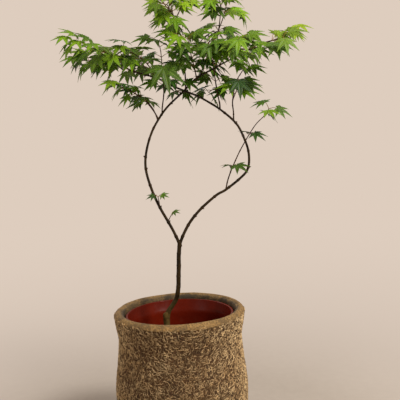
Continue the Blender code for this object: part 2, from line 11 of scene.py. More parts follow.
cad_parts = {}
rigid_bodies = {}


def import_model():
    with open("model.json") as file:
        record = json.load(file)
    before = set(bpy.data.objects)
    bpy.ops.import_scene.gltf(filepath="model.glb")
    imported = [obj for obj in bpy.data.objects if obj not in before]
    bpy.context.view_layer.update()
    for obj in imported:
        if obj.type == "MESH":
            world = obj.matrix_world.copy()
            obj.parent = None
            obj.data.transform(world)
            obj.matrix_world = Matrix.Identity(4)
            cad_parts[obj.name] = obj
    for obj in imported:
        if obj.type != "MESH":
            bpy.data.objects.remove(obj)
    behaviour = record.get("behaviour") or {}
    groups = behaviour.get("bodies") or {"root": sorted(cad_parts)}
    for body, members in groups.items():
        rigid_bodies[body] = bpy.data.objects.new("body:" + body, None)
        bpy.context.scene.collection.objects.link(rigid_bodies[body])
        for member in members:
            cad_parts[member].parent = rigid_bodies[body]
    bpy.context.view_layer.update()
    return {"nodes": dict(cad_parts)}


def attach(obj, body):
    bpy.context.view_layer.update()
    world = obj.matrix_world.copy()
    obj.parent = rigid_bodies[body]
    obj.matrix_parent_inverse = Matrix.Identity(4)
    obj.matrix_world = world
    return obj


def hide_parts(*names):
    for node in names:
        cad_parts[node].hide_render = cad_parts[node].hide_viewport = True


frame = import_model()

MM = 0.001
UP = Vector((0.0, 0.0, 1.0))

# The planter, grow pot and soil, as the solid model has them
PLANTER_HEIGHT = 0.325
RIM_RADIUS = 0.130
NECK_RADIUS = 0.1230
BELLY_RADIUS = 0.1310
FOOT_RADIUS = 0.1160
NECK_DROP = 0.060
BELLY_DROP = 0.150
LIP_WIDTH = 0.019
PLANTER_WALL = 0.013
PLANTER_FLOOR = 0.018
FOOT_ROUNDING = 0.007
LINER_DROP = 0.011
LINER_CLEARANCE = 0.0015
LINER_FLANGE = 0.0035
LINER_FLANGE_HEIGHT = 0.004
LINER_WALL = 0.002
LINER_TAPER = 0.015
DRAIN_HOLES = 6
DRAIN_HOLE_RADIUS = 0.006
DRAIN_CIRCLE_RADIUS = 0.052
SOIL_DROP = 0.115
SOIL_MOUND = 0.006

# The tree, as the solid model has it
LEAF_SCALE = 1.15
PETIOLE_SHARE = 0.50  # of the blade's length
GAP = 0.0003  # kept between neighbours that touch
LIGHT_SIDE = Vector((0.05, -0.88, 0.48))  # the side that the blades turn to
ROUTE_STEPS = 2
STUMP_RADIUS = 5.9
STUMP_DEPTH = 60.0
STUMP = [(-25, 0, -STUMP_DEPTH), (-25, 0, 0), (-26, 0, 50), (-27.5, 0, 103)]
TRUNK = [
    (-27, 0, 88), (-23, 0, 105), (-14, 0, 118), (-5, 0, 133),
    (-1, 0, 157), (1, 0, 190), (3, 0, 220), (5, 0, 248),
]
LEFT_STEM = [
    (1.9, 0, 249), (-11, -2, 277), (-30, -5, 313), (-46, -8, 352), (-56, -9, 391), (-55, -9, 424),
    (-43, -8, 464), (-27, -7, 493), (-6, -5, 520), (27, -3.2, 550), (52, -4, 573), (88, -6, 591),
]
RIGHT_STEM = [
    (8.1, 0, 249), (19, 2, 270), (33, 4, 291), (55, 7, 314), (84, 10, 337), (103, 11, 347), (133, 12, 369),
    (148, 12, 385), (153, 12, 407), (150, 11, 434), (138, 10, 466), (124, 9, 487), (97, 7, 511), (60, 5, 535),
    (27, 3.2, 550), (3, 3, 561), (-27, 0, 577), (-57, -2, 586), (-80, -3, 594),
]
STEMS = {
    "trunk": (TRUNK, 4.7, 4.2),
    "left_stem": (LEFT_STEM, 2.8, 1.7),
    "right_stem": (RIGHT_STEM, 2.8, 1.6),
}

# Each shoot: its parent, the place on the parent's route counted in its points, offsets from that place, the
# twig's radii, and its leaves as (share of the twig's length, kind, roll in degrees, blade length), with all
# lengths in millimetres. Roll turns a pair round its twig, and 0 lays it level. A "hang" leaf hangs alone.
SHOOTS = {
    "sprout_low": ("left_stem", 1.3, [(8, -3, 14)], (0.9, 0.7), [(1.0, "one", 0, 14)]),
    "sprout_mid": ("left_stem", 2.1, [(0, -6, 8), (-2, -10, 22)], (0.9, 0.7), [(1.0, "pair", 0, 15)]),
    "side_riser": (
        "right_stem", 5.0, [(6, 5, 22), (18, 8, 50), (35, 8, 83), (64, 6, 128), (84, 4, 148), (95, 2, 163)],
        (1.4, 0.8),
        [(0.30, "pair", 10, 29), (0.60, "pair", 35, 27), (0.86, "pair", 0, 30), (1.0, "pair", 80, 30)],
    ),
    "left_limb_tip": (
        "right_stem", 18.0, [(-27, -8, 15), (-60, -14, 34), (-88, -18, 46), (-112, -20, 57)],
        (1.4, 0.8),
        [(0.30, "pair", 60, 35), (0.45, "pair", 20, 35), (0.60, "pair", 75, 34), (0.74, "pair", 10, 32),
         (0.87, "pair", 70, 30), (1.0, "pair", 0, 30)],
    ),
    "left_limb_low": (
        "right_stem", 17.3, [(-22, 22, 14), (-60, 40, 30), (-102, 48, 42), (-130, 50, 46)], (1.2, 0.8),
        [(0.28, "pair", 20, 34), (0.46, "pair", 60, 34), (0.64, "pair", 10, 33), (0.82, "pair", 70, 32),
         (1.0, "pair", 0, 31)],
    ),
    "left_limb_front": (
        "right_stem", 17.6, [(-12, -22, 12), (-38, -46, 22), (-66, -64, 26)], (1.2, 0.8),
        [(0.40, "pair", 0, 35), (0.60, "pair", 50, 34), (0.80, "pair", 10, 33), (1.0, "pair", 20, 33)],
    ),
    "left_limb_back": (
        "right_stem", 16.6, [(-8, 26, 24), (-24, 58, 44), (-44, 88, 52)], (1.2, 0.8),
        [(0.36, "pair", 30, 34), (0.58, "pair", 80, 33), (0.79, "pair", 20, 33), (1.0, "pair", 60, 33)],
    ),
    "left_limb_mid": (
        "right_stem", 16.2, [(-8, -14, 18), (-26, -28, 34), (-54, -38, 46)], (1.2, 0.8),
        [(0.38, "pair", 10, 34), (0.59, "pair", 70, 33), (0.80, "pair", 20, 33), (1.0, "pair", 50, 33)],
    ),
    "front_leaf": ("right_stem", 15.6, [(-3, -20, 4), (-8, -36, 4)], (1.1, 0.9), [(1.0, "hang", 0, 54)]),
    "left_spray": (
        "left_stem", 7.0, [(-11, -6, 19), (-29, -12, 40), (-56, -20, 56), (-80, -26, 67)], (1.3, 0.8),
        [(0.43, "pair", 10, 26), (0.62, "pair", 60, 26), (0.81, "pair", 20, 27), (1.0, "pair", 0, 28)],
    ),
    "left_spray_back": (
        "left_stem", 6.9, [(-10, 18, 26), (-30, 38, 54), (-50, 52, 68)], (1.2, 0.8),
        [(0.55, "pair", 0, 28), (0.78, "pair", 60, 27), (1.0, "pair", 30, 28)],
    ),
    "left_riser": (
        "left_stem", 7.4, [(0, 5, 12), (4, 10, 47), (2, 16, 87), (0, 20, 132), (-6, 20, 154)], (1.3, 0.8),
        [(0.46, "pair", 20, 32), (0.60, "pair", 70, 33), (0.74, "pair", 10, 34), (0.87, "pair", 80, 34),
         (1.0, "pair", 30, 34)],
    ),
    "dark_spray": (
        "right_stem", 15.0, [(4, 18, -3), (14, 34, -8)], (1.1, 0.8),
        [(0.7, "pair", 20, 28), (1.0, "one", 0, 30)],
    ),
    "dark_spray_front": ("right_stem", 14.7, [(2, -20, 8), (6, -34, 4)], (1.1, 0.8), [(1.0, "pair", 0, 30)]),
    "centre_riser": (
        "left_stem", 9.1,
        [(0, -4, 27), (-2, -6, 46), (-9, -6, 92), (-16, -4, 133), (-23, 0, 168), (-25, 2, 204)],
        (1.5, 0.8),
        [(0.31, "pair", 20, 33), (0.42, "pair", 70, 34), (0.54, "pair", 30, 35), (0.66, "pair", 80, 33),
         (0.78, "pair", 10, 31), (0.89, "pair", 60, 30), (1.0, "pair", 70, 29)],
    ),
    "crown_left_front": (
        "centre_riser", 3.4, [(-4, -22, 16), (-10, -44, 28), (-16, -60, 34)], (1.1, 0.8),
        [(0.38, "pair", 0, 33), (0.60, "pair", 60, 32), (0.80, "pair", 10, 31), (1.0, "pair", 20, 31)],
    ),
    "crown_left_back": (
        "centre_riser", 3.8, [(-4, 24, 18), (-12, 52, 34), (-18, 74, 40)], (1.1, 0.8),
        [(0.38, "pair", 10, 34), (0.60, "pair", 70, 33), (0.80, "pair", 20, 32), (1.0, "pair", 50, 32)],
    ),
    "crown_left_side": (
        "centre_riser", 4.3, [(-10, -6, 14), (-20, -10, 26), (-26, -12, 30)], (1.1, 0.8),
        [(0.6, "pair", 50, 27), (1.0, "pair", 0, 27)],
    ),
    "crown_left_right": (
        "centre_riser", 4.1, [(10, -10, 14), (16, -18, 24), (20, -22, 28)], (1.1, 0.8),
        [(0.6, "pair", 30, 28), (1.0, "pair", 0, 27)],
    ),
    "crown_left_top": (
        "centre_riser", 5.4, [(10, 8, 22), (18, 14, 46), (20, 16, 60)], (1.0, 0.7),
        [(0.35, "pair", 60, 28), (0.68, "pair", 0, 28), (1.0, "pair", 70, 27)],
    ),
    "heart_front": (
        "left_stem", 10.0, [(-4, -18, 18), (-10, -38, 40), (-14, -58, 60)], (1.2, 0.8),
        [(0.34, "pair", 0, 35), (0.51, "pair", 60, 35), (0.68, "pair", 10, 34), (0.84, "pair", 70, 34),
         (1.0, "pair", 30, 34)],
    ),
    "heart_back": (
        "left_stem", 10.2, [(5, 16, 18), (14, 38, 44), (20, 62, 66)], (1.2, 0.8),
        [(0.36, "pair", 20, 35), (0.58, "pair", 80, 34), (0.79, "pair", 10, 34), (1.0, "pair", 60, 34)],
    ),
    "right_limb": (
        "left_stem", 11.0,
        [(17, -2, 8), (54, -5, 25), (91, -7, 42), (125, -8, 51), (148, -8, 62), (156, -8, 67)],
        (1.5, 0.8),
        [(0.22, "pair", 60, 35), (0.42, "pair", 20, 33), (0.62, "pair", 70, 31), (0.81, "pair", 30, 30),
         (1.0, "pair", 0, 31)],
    ),
    "right_limb_low": (
        "right_limb", 2.4, [(14, -18, -2), (36, -38, 2), (58, -52, 2)], (1.1, 0.8),
        [(0.42, "pair", 0, 33), (0.72, "pair", 60, 32), (1.0, "pair", 40, 33)],
    ),
    "right_limb_back": (
        "right_limb", 1.6, [(8, 24, 16), (24, 56, 34), (38, 84, 44)], (1.2, 0.8),
        [(0.36, "pair", 20, 35), (0.58, "pair", 80, 34), (0.79, "pair", 10, 33), (1.0, "pair", 60, 33)],
    ),
    "right_limb_front": (
        "right_limb", 0.7, [(8, -24, 10), (22, -50, 20), (36, -74, 24)], (1.2, 0.8),
        [(0.36, "pair", 10, 35), (0.58, "pair", 60, 34), (0.79, "pair", 20, 34), (1.0, "pair", 40, 34)],
    ),
    "right_riser": (
        "right_stem", 12.0,
        [(0, 2, 11), (-3, 4, 30), (-7, 5, 62), (-10, 6, 98),
         (-6, 6, 139), (12, 4, 182), (23, 2, 218), (28, 0, 242)],
        (1.5, 0.8),
        [(0.36, "pair", 20, 33), (0.47, "pair", 70, 34), (0.58, "pair", 30, 35), (0.69, "pair", 80, 33),
         (0.80, "pair", 20, 32), (0.90, "pair", 60, 31), (1.0, "pair", 70, 29)],
    ),
    "riser_low": (
        "right_riser", 2.4, [(-8, 20, 4), (-16, 44, 4)], (1.1, 0.8),
        [(0.6, "pair", 0, 33), (1.0, "pair", 40, 33)],
    ),
    "riser_front": (
        "right_riser", 3.5, [(-4, -24, 14), (-10, -50, 28), (-12, -74, 34)], (1.1, 0.8),
        [(0.36, "pair", 0, 35), (0.58, "pair", 60, 34), (0.79, "pair", 10, 34), (1.0, "pair", 30, 34)],
    ),
    "crown_right_back": (
        "right_riser", 5.2, [(4, 26, 18), (10, 54, 32), (18, 78, 36)], (1.1, 0.8),
        [(0.38, "pair", 10, 33), (0.60, "pair", 70, 31), (0.80, "pair", 20, 31), (1.0, "pair", 50, 30)],
    ),
    "crown_right_front": (
        "right_riser", 5.6, [(2, -24, 14), (2, -50, 26), (-2, -70, 30)], (1.1, 0.8),
        [(0.38, "pair", 0, 32), (0.60, "pair", 60, 31), (0.80, "pair", 10, 30), (1.0, "pair", 40, 30)],
    ),
    "crown_right_side": (
        "right_riser", 6.2, [(12, 8, 12), (22, 12, 20), (30, 12, 20)], (1.0, 0.7),
        [(0.6, "pair", 30, 28), (1.0, "pair", 0, 28)],
    ),
    "crown_right_top": (
        "right_riser", 7.3, [(-12, -6, 20), (-22, -8, 44), (-26, -8, 58)], (1.0, 0.7),
        [(0.35, "pair", 60, 28), (0.68, "pair", 20, 28), (1.0, "pair", 80, 27)],
    ),
    "green_twig": (
        "right_stem", 11.0, [(1, 5, 19), (0, 9, 39), (4, 12, 62), (10, 14, 84), (27, 16, 110)], (1.5, 0.9),
        [(0.55, "pair", 0, 35), (0.80, "pair", 60, 34), (1.0, "pair", 10, 34)],
    ),
    "green_hanging": (
        "green_twig", 2.2, [(6, -18, 14), (8, -32, 20)], (1.0, 0.8),
        [(0.9, "pair", 0, 34), (1.0, "hang", 0, 38)],
    ),
}
BLADE_DROOP = 0.14
LEAF_FALL = 24  # of a midrib below the level, in degrees
# The turns, dips and sizes that a leaf may have, in the order in which they are tried
LEAF_TURNS = (0, 14, -14, 28, -28, 45, -45, 65, -65, 90, -90, 120, -120)
LEAF_DIPS = (0, 16, -16, 34)
LEAF_SIZES = (1.0, 0.86, 0.72, 0.58)
KNEE = 0.15  # from the blade back to the bend in its petiole
# The tips of the solid model's five lobes: an angle from the midrib, and a share of the blade's length
CAD_TIPS = [(0, 1.0), (40, 0.90), (-40, 0.90), (82, 0.68), (-82, 0.68)]


# --------------------------------------------------------------------------------------------- shared helpers

def rgb(red, green, blue):
    """A colour given as 0 to 255 in sRGB, as linear light with full alpha."""
    linear = []
    for part in (red, green, blue):
        c = part / 255.0
        linear.append(c / 12.92 if c <= 0.04045 else ((c + 0.055) / 1.055) ** 2.4)
    return (*linear, 1.0)


def in_scene(name, data):
    """A new object that holds this data, linked to the scene."""
    made = bpy.data.objects.new(name, data)
    bpy.context.scene.collection.objects.link(made)
    return made


def plain_mesh(name, shape):
    """The mesh of an object with its modifiers applied. The object itself is removed."""
    graph = bpy.context.evaluated_depsgraph_get()
    graph.update()
    mesh = bpy.data.meshes.new_from_object(shape.evaluated_get(graph))
    mesh.name = name
    bpy.data.objects.remove(shape)
    return mesh


def add_piece(name, mesh, *finish, slot, stands_for=()):
    """Puts a finished mesh in the scene as a piece that rides on the root."""
    piece = in_scene(name, mesh)
    for look in finish:
        mesh.materials.append(look)
    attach(piece, "root")
    if stands_for:
        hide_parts(*stands_for)


def shade_smooth(mesh):
    """The same mesh, shaded smooth."""
    mesh.polygons.foreach_set("use_smooth", np.ones(len(mesh.polygons), bool))
    return mesh


def mesh_of(name, corners, faces, floats=(), uv=None):
    """A mesh from arrays. floats are (name, a value for each corner), and uv is a pair for each corner."""
    mesh = bpy.data.meshes.new(name)
    mesh.from_pydata([tuple(c) for c in corners], [], [tuple(f) for f in faces])
    mesh.update()
    for label, values in floats:
        layer = mesh.attributes.new(label, "FLOAT", "POINT")
        layer.data.foreach_set("value", np.asarray(values, np.float32))
    if uv is not None:
        layer = mesh.uv_layers.new(name="UVMap")
        index = np.empty(len(mesh.loops), np.int32)
        mesh.loops.foreach_get("vertex_index", index)
        layer.data.foreach_set("uv", np.asarray(uv, np.float32)[index].ravel())
    return shade_smooth(mesh)


class Gathered:
    """Corners, faces and per-corner values of many small shapes that become one mesh."""

    def __init__(self, *labels):
        self.corners = []
        self.faces = []
        self.values = {label: [] for label in labels}
        self.uv = []

    def add(self, corners, faces, uv, **values):
        """Adds one shape. Each labelled value is one number for the whole shape or one for each corner."""
        start = len(self.corners)
        self.corners += [tuple(c) for c in corners]
        self.faces += [tuple(start + k for k in face) for face in faces]
        for label in self.values:
            value = values[label]
            self.values[label] += list(value) if hasattr(value, "__len__") else [value] * len(corners)
        self.uv += [tuple(pair) for pair in uv]

    def mesh(self, name):
        """All the shapes as one mesh."""
        return mesh_of(name, self.corners, self.faces, floats=self.values.items(), uv=self.uv)


def smooth_route(points, steps=ROUTE_STEPS):
    """A curve through the points, with this many steps between each two of them."""
    if len(points) == 2:
        return [points[0].lerp(points[1], k / steps) for k in range(steps + 1)]
    ends = [points[0] * 2 - points[1]] + points + [points[-1] * 2 - points[-2]]
    route = []
    for i in range(1, len(ends) - 2):
        before, a, b, after = ends[i - 1 : i + 3]
        for k in range(steps):
            t = k / steps
            curve = (a * 2 + (b - before) * t + (before * 2 - a * 5 + b * 4 - after) * t * t)
            route.append((curve + (a * 3 - before - b * 3 + after) * t * t * t) * 0.5)
    return route + [points[-1]]


def at_place(route, where):
    """The point and the direction at a place on a smooth route, counted in its steps."""
    i = min(int(where), len(route) - 2)
    return route[i].lerp(route[i + 1], where - i), (route[i + 1] - route[i]).normalized()


def in_metres(points):
    """The tree's points, given in millimetres above the soil, in the object's own place."""
    return [Vector(p) * MM + UP * (PLANTER_HEIGHT - SOIL_DROP) for p in points]


def arc(centre_r, centre_z, radius, start, end, steps):
    """Points along an arc of a profile, from one angle to another in degrees."""
    points = []
    for k in range(steps + 1):
        angle = math.radians(start + (end - start) * k / steps)
        points.append((centre_r + radius * math.cos(angle), centre_z + radius * math.sin(angle)))
    return points


def sweep(route, radii, sides):
    """A round rod along a route, with its own radius at each point, as corners, faces and (round, along)."""
    corners, uv, faces = [], [], []
    way = (route[1] - route[0]).normalized()
    across = way.orthogonal().normalized()
    along = 0.0
    for k, (point, radius) in enumerate(zip(route, radii)):
        ahead = (route[min(k + 1, len(route) - 1)] - route[max(k - 1, 0)]).normalized()
        across = way.rotation_difference(ahead) @ across
        across = (across - ahead * across.dot(ahead)).normalized()
        way = ahead
        up = way.cross(across)
        if k:
            along += (point - route[k - 1]).length
        for s in range(sides):
            angle = math.tau * s / sides
            corners.append(point + (across * math.cos(angle) + up * math.sin(angle)) * radius)
            uv.append((s / sides, along))
    for k in range(len(route) - 1):
        for s in range(sides):
            t = (s + 1) % sides
            low, high = k * sides, (k + 1) * sides
            faces.append((low + s, low + t, high + t, high + s))
    faces.append(tuple(reversed(range(sides))))
    faces.append(tuple(range(len(corners) - sides, len(corners))))
    return corners, faces, uv


# ------------------------------------------------------------------------------------------------- materials

def linked(tree, source, target):
    """Joins one node's socket to another's."""
    tree.links.new(source, target)


def group_with(name, inputs, outputs):
    """An empty shader node group with named sockets."""
    tree = bpy.data.node_groups.new(name, "ShaderNodeTree")
    for label, kind, value in inputs:
        socket = tree.interface.new_socket(label, in_out="INPUT", socket_type=kind)
        if value is not None:
            socket.default_value = value
    for label, kind in outputs:
        tree.interface.new_socket(label, in_out="OUTPUT", socket_type=kind)
    return tree, tree.nodes.new("NodeGroupInput"), tree.nodes.new("NodeGroupOutput")


def value_node(tree, kind, **settings):
    """A node with its properties and unlinked inputs set by name."""
    node = tree.nodes.new(kind)
    for label, value in settings.items():
        if hasattr(node, label):
            setattr(node, label, value)
        else:
            node.inputs[label.replace("_", " ")].default_value = value
    return node


def maths(tree, operation, a, b=None, clamp=False):
    """One arithmetic step on sockets or plain numbers."""
    node = tree.nodes.new("ShaderNodeMath")
    node.operation = operation
    node.use_clamp = clamp
    for k, part in enumerate((a, b)):
        if part is None:
            continue
        if isinstance(part, (int, float)):
            node.inputs[k].default_value = part
        else:
            linked(tree, part, node.inputs[k])
    return node.outputs[0]


def texture(tree, place, kind, **settings):
    """A texture laid out on the given coordinates."""
    node = value_node(tree, kind, **settings)
    linked(tree, place, node.inputs["Vector"])
    return node


def distance_out(tree, place):
    """How far a place lies from the origin."""
    span = value_node(tree, "ShaderNodeVectorMath", operation="LENGTH")
    linked(tree, place, span.inputs[0])
    return span.outputs["Value"]


def mixed(tree, factor, a, b, blend="MIX"):
    """A colour mixed from two, each a socket or a plain colour."""
    node = tree.nodes.new("ShaderNodeMix")
    node.data_type = "RGBA"
    node.blend_type = blend
    for socket, part in ((node.inputs[0], factor), (node.inputs[6], a), (node.inputs[7], b)):
        if isinstance(part, (int, float, tuple)):
            socket.default_value = part
        else:
            linked(tree, part, socket)
    return node.outputs[2]


def ranged(tree, value, low, high, to_low=0.0, to_high=1.0):
    """A value carried smoothly from one range to another."""
    node = tree.nodes.new("ShaderNodeMapRange")
    node.interpolation_type = "SMOOTHSTEP"
    linked(tree, value, node.inputs["Value"])
    for label, number in (("From Min", low), ("From Max", high), ("To Min", to_low), ("To Max", to_high)):
        node.inputs[label].default_value = number
    return node.outputs["Result"]


def make_mottle():
    """Uneven colour with fine grain, for anything that grew or was made by hand."""
    tree, given, made = group_with(
        "mottle",
        [("Vector", "NodeSocketVector", None), ("Patch Scale", "NodeSocketFloat", 12.0),
         ("Grain Scale", "NodeSocketFloat", 240.0), ("Dark", "NodeSocketColor", None),
         ("Light", "NodeSocketColor", None), ("Grain Strength", "NodeSocketFloat", 0.4)],
        [("Color", "NodeSocketColor"), ("Height", "NodeSocketFloat")],
    )
    place = given.outputs["Vector"]
    patches = texture(tree, place, "ShaderNodeTexNoise", Detail=5.0, Roughness=0.6, Distortion=0.3)
    grain = texture(tree, place, "ShaderNodeTexNoise", Detail=6.0, Roughness=0.65)
    linked(tree, given.outputs["Patch Scale"], patches.inputs["Scale"])
    linked(tree, given.outputs["Grain Scale"], grain.inputs["Scale"])
    wide = ranged(tree, patches.outputs["Fac"], 0.32, 0.68)
    fine = ranged(tree, grain.outputs["Fac"], 0.30, 0.70)
    share = maths(tree, "MULTIPLY", fine, given.outputs["Grain Strength"])
    rest = maths(tree, "MULTIPLY", wide, maths(tree, "SUBTRACT", 1.0, given.outputs["Grain Strength"]))
    both = maths(tree, "ADD", share, rest, clamp=True)
    linked(tree, mixed(tree, both, given.outputs["Dark"], given.outputs["Light"]), made.inputs["Color"])
    linked(tree, both, made.inputs["Height"])
    return tree


MOTTLE = make_mottle()


def new_look(name, roughness):
    """A material with a Principled shader, and the nodes that the others start from."""
    look = bpy.data.materials.new(name)
    look.use_nodes = True
    tree = look.node_tree
    shader = tree.nodes["Principled BSDF"]
    shader.inputs["Roughness"].default_value = roughness
    place = tree.nodes.new("ShaderNodeTexCoord").outputs["Object"]
    return look, tree, shader, place


def mottled(tree, place, dark, light, patch, grain, strength):
    """The mottle group in a material, as its colour and its height."""
    node = tree.nodes.new("ShaderNodeGroup")
    node.node_tree = MOTTLE
    linked(tree, place, node.inputs["Vector"])
    for label, value in (("Dark", dark), ("Light", light), ("Patch Scale", patch), ("Grain Scale", grain),
                         ("Grain Strength", strength)):
        node.inputs[label].default_value = value
    return node.outputs["Color"], node.outputs["Height"]


def bumped(tree, shader, height, strength, distance):
    """Roughens a shader's surface by a height."""
    bump = value_node(tree, "ShaderNodeBump", Strength=strength, Distance=distance)
    linked(tree, height, bump.inputs["Height"])
    linked(tree, bump.outputs["Normal"], shader.inputs["Normal"])


def attribute(tree, name):
    """One of the values that a mesh holds for each corner."""
    node = tree.nodes.new("ShaderNodeAttribute")
    node.attribute_name = name
    return node.outputs["Fac"]


def clay_look():
    """Dark rough clay on the wall, and smoother tan clay on the lip and inside, where the lip value is 1,
    with painted shade darkening the lip's inner edge and the inside.
    """
    look, tree, shader, place = new_look("rough_clay", 0.95)
    lip = attribute(tree, "lip")
    wall, wall_height = mottled(tree, place, rgb(24, 14, 6), rgb(104, 72, 39), 60.0, 420.0, 0.8)
    rim, rim_height = mottled(tree, place, rgb(74, 56, 26), rgb(170, 134, 78), 18.0, 380.0, 0.9)
    pits = texture(tree, place, "ShaderNodeTexVoronoi", Scale=260.0, Randomness=1.0)
    hollow = ranged(tree, pits.outputs["Distance"], 0.05, 0.35)
    stain_and_shade_noise = texture(tree, place, "ShaderNodeTexNoise", Scale=34.0, Detail=4.0, Roughness=0.7)
    stain = ranged(tree, stain_and_shade_noise.outputs["Fac"], 0.47, 0.64, 0.0, 0.75)
    rim = mixed(tree, stain, rim, rgb(80, 62, 34))
    level = value_node(tree, "ShaderNodeVectorMath", operation="MULTIPLY")
    level.inputs[1].default_value = (1.0, 1.0, 0.0)
    linked(tree, place, level.inputs[0])
    radius = distance_out(tree, level.outputs["Vector"])
    # Painted shade: the clay darkens towards the lip's inner edge and inside the mouth, made patchy by the
    # stain noise
    inner = ranged(tree, radius, RIM_RADIUS - LIP_WIDTH, RIM_RADIUS - 0.45 * LIP_WIDTH, 1.0, 0.0)
    painted_inner_shade = maths(tree, "MULTIPLY", inner, ranged(tree, stain_and_shade_noise.outputs["Fac"], 0.30, 0.60, 0.35, 0.95))
    rim = mixed(tree, painted_inner_shade, rim, rgb(48, 38, 20))
    linked(tree, mixed(tree, lip, wall, rim), shader.inputs["Base Color"])
    linked(tree, ranged(tree, lip, 0.0, 1.0, 0.97, 0.72), shader.inputs["Roughness"])
    rough = maths(tree, "ADD", maths(tree, "MULTIPLY", hollow, 0.6), wall_height)
    calm = maths(tree, "MULTIPLY", rim_height, 0.8)
    part = tree.nodes.new("ShaderNodeMix")
    linked(tree, lip, part.inputs[0])
    linked(tree, rough, part.inputs[2])
    linked(tree, calm, part.inputs[3])
    bumped(tree, shader, part.outputs[0], 0.9, 0.0012)
    return look


def fibre_look():
    """Pale raised strokes of clay, each with its own shade."""
    look, tree, shader, place = new_look("clay_fibres", 0.9)
    tint = attribute(tree, "tint")
    tan, height = mottled(tree, place, rgb(176, 140, 92), rgb(255, 230, 184), 26.0, 500.0, 0.5)
    shade = mixed(tree, ranged(tree, tint, 0.0, 1.0), rgb(98, 84, 66), rgb(255, 250, 240))
    linked(tree, mixed(tree, 1.0, tan, shade, "MULTIPLY"), shader.inputs["Base Color"])
    bumped(tree, shader, height, 0.5, 0.0004)
    return look


def plastic_look():
    """Glossy dark red moulded plastic, with faint dust and a fine grain in its surface."""
    look, tree, shader, place = new_look("oxblood_plastic", 0.30)
    colour, height = mottled(tree, place, rgb(78, 17, 6), rgb(100, 25, 9), 9.0, 180.0, 0.2)
    dust = texture(tree, place, "ShaderNodeTexNoise", Scale=55.0, Detail=8.0, Roughness=0.75)
    film = ranged(tree, dust.outputs["Fac"], 0.55, 0.80, 0.0, 0.05)
    linked(tree, mixed(tree, film, colour, rgb(150, 118, 96)), shader.inputs["Base Color"])
    linked(tree, ranged(tree, dust.outputs["Fac"], 0.40, 0.75, 0.24, 0.45), shader.inputs["Roughness"])
    shader.inputs["Specular IOR Level"].default_value = 0.08
    bumped(tree, shader, height, 0.15, 0.0003)
    return look


def bark_look():
    """Dark brown young bark, grey-green and older near the soil, with pale pores and a fine grain."""
    look, tree, shader, place = new_look("maple_bark", 0.62)
    shader.inputs["Specular IOR Level"].default_value = 0.15
    age = attribute(tree, "age")
    young, young_height = mottled(tree, place, rgb(20, 12, 1), rgb(50, 35, 7), 50.0, 900.0, 0.15)
    old, old_height = mottled(tree, place, rgb(40, 29, 9), rgb(104, 82, 40), 90.0, 700.0, 0.5)
    colour = mixed(tree, age, young, old)
    moss = texture(tree, place, "ShaderNodeTexNoise", Scale=45.0, Detail=3.0)
    green = maths(tree, "MULTIPLY", ranged(tree, moss.outputs["Fac"], 0.45, 0.65, 0.0, 0.45), age)
    colour = mixed(tree, green, colour, rgb(92, 98, 52))
    pores = texture(tree, place, "ShaderNodeTexVoronoi", Scale=340.0, Randomness=1.0)
    dot = ranged(tree, pores.outputs["Distance"], 0.02, 0.12, 0.12, 0.0)
    colour = mixed(tree, dot, colour, rgb(168, 150, 122))
    fresh = attribute(tree, "fresh")
    shoot, _ = mottled(tree, place, rgb(62, 34, 16), rgb(98, 64, 32), 60.0, 400.0, 0.4)
    linked(tree, mixed(tree, fresh, colour, shoot), shader.inputs["Base Color"])
    linked(tree, ranged(tree, age, 0.0, 1.0, 0.55, 0.85), shader.inputs["Roughness"])
    fine = maths(tree, "MULTIPLY", young_height, 0.2)
    both = maths(tree, "ADD", fine, maths(tree, "MULTIPLY", old_height, age))
    bumped(tree, shader, maths(tree, "ADD", both, dot), 0.22, 0.0003)
    return look


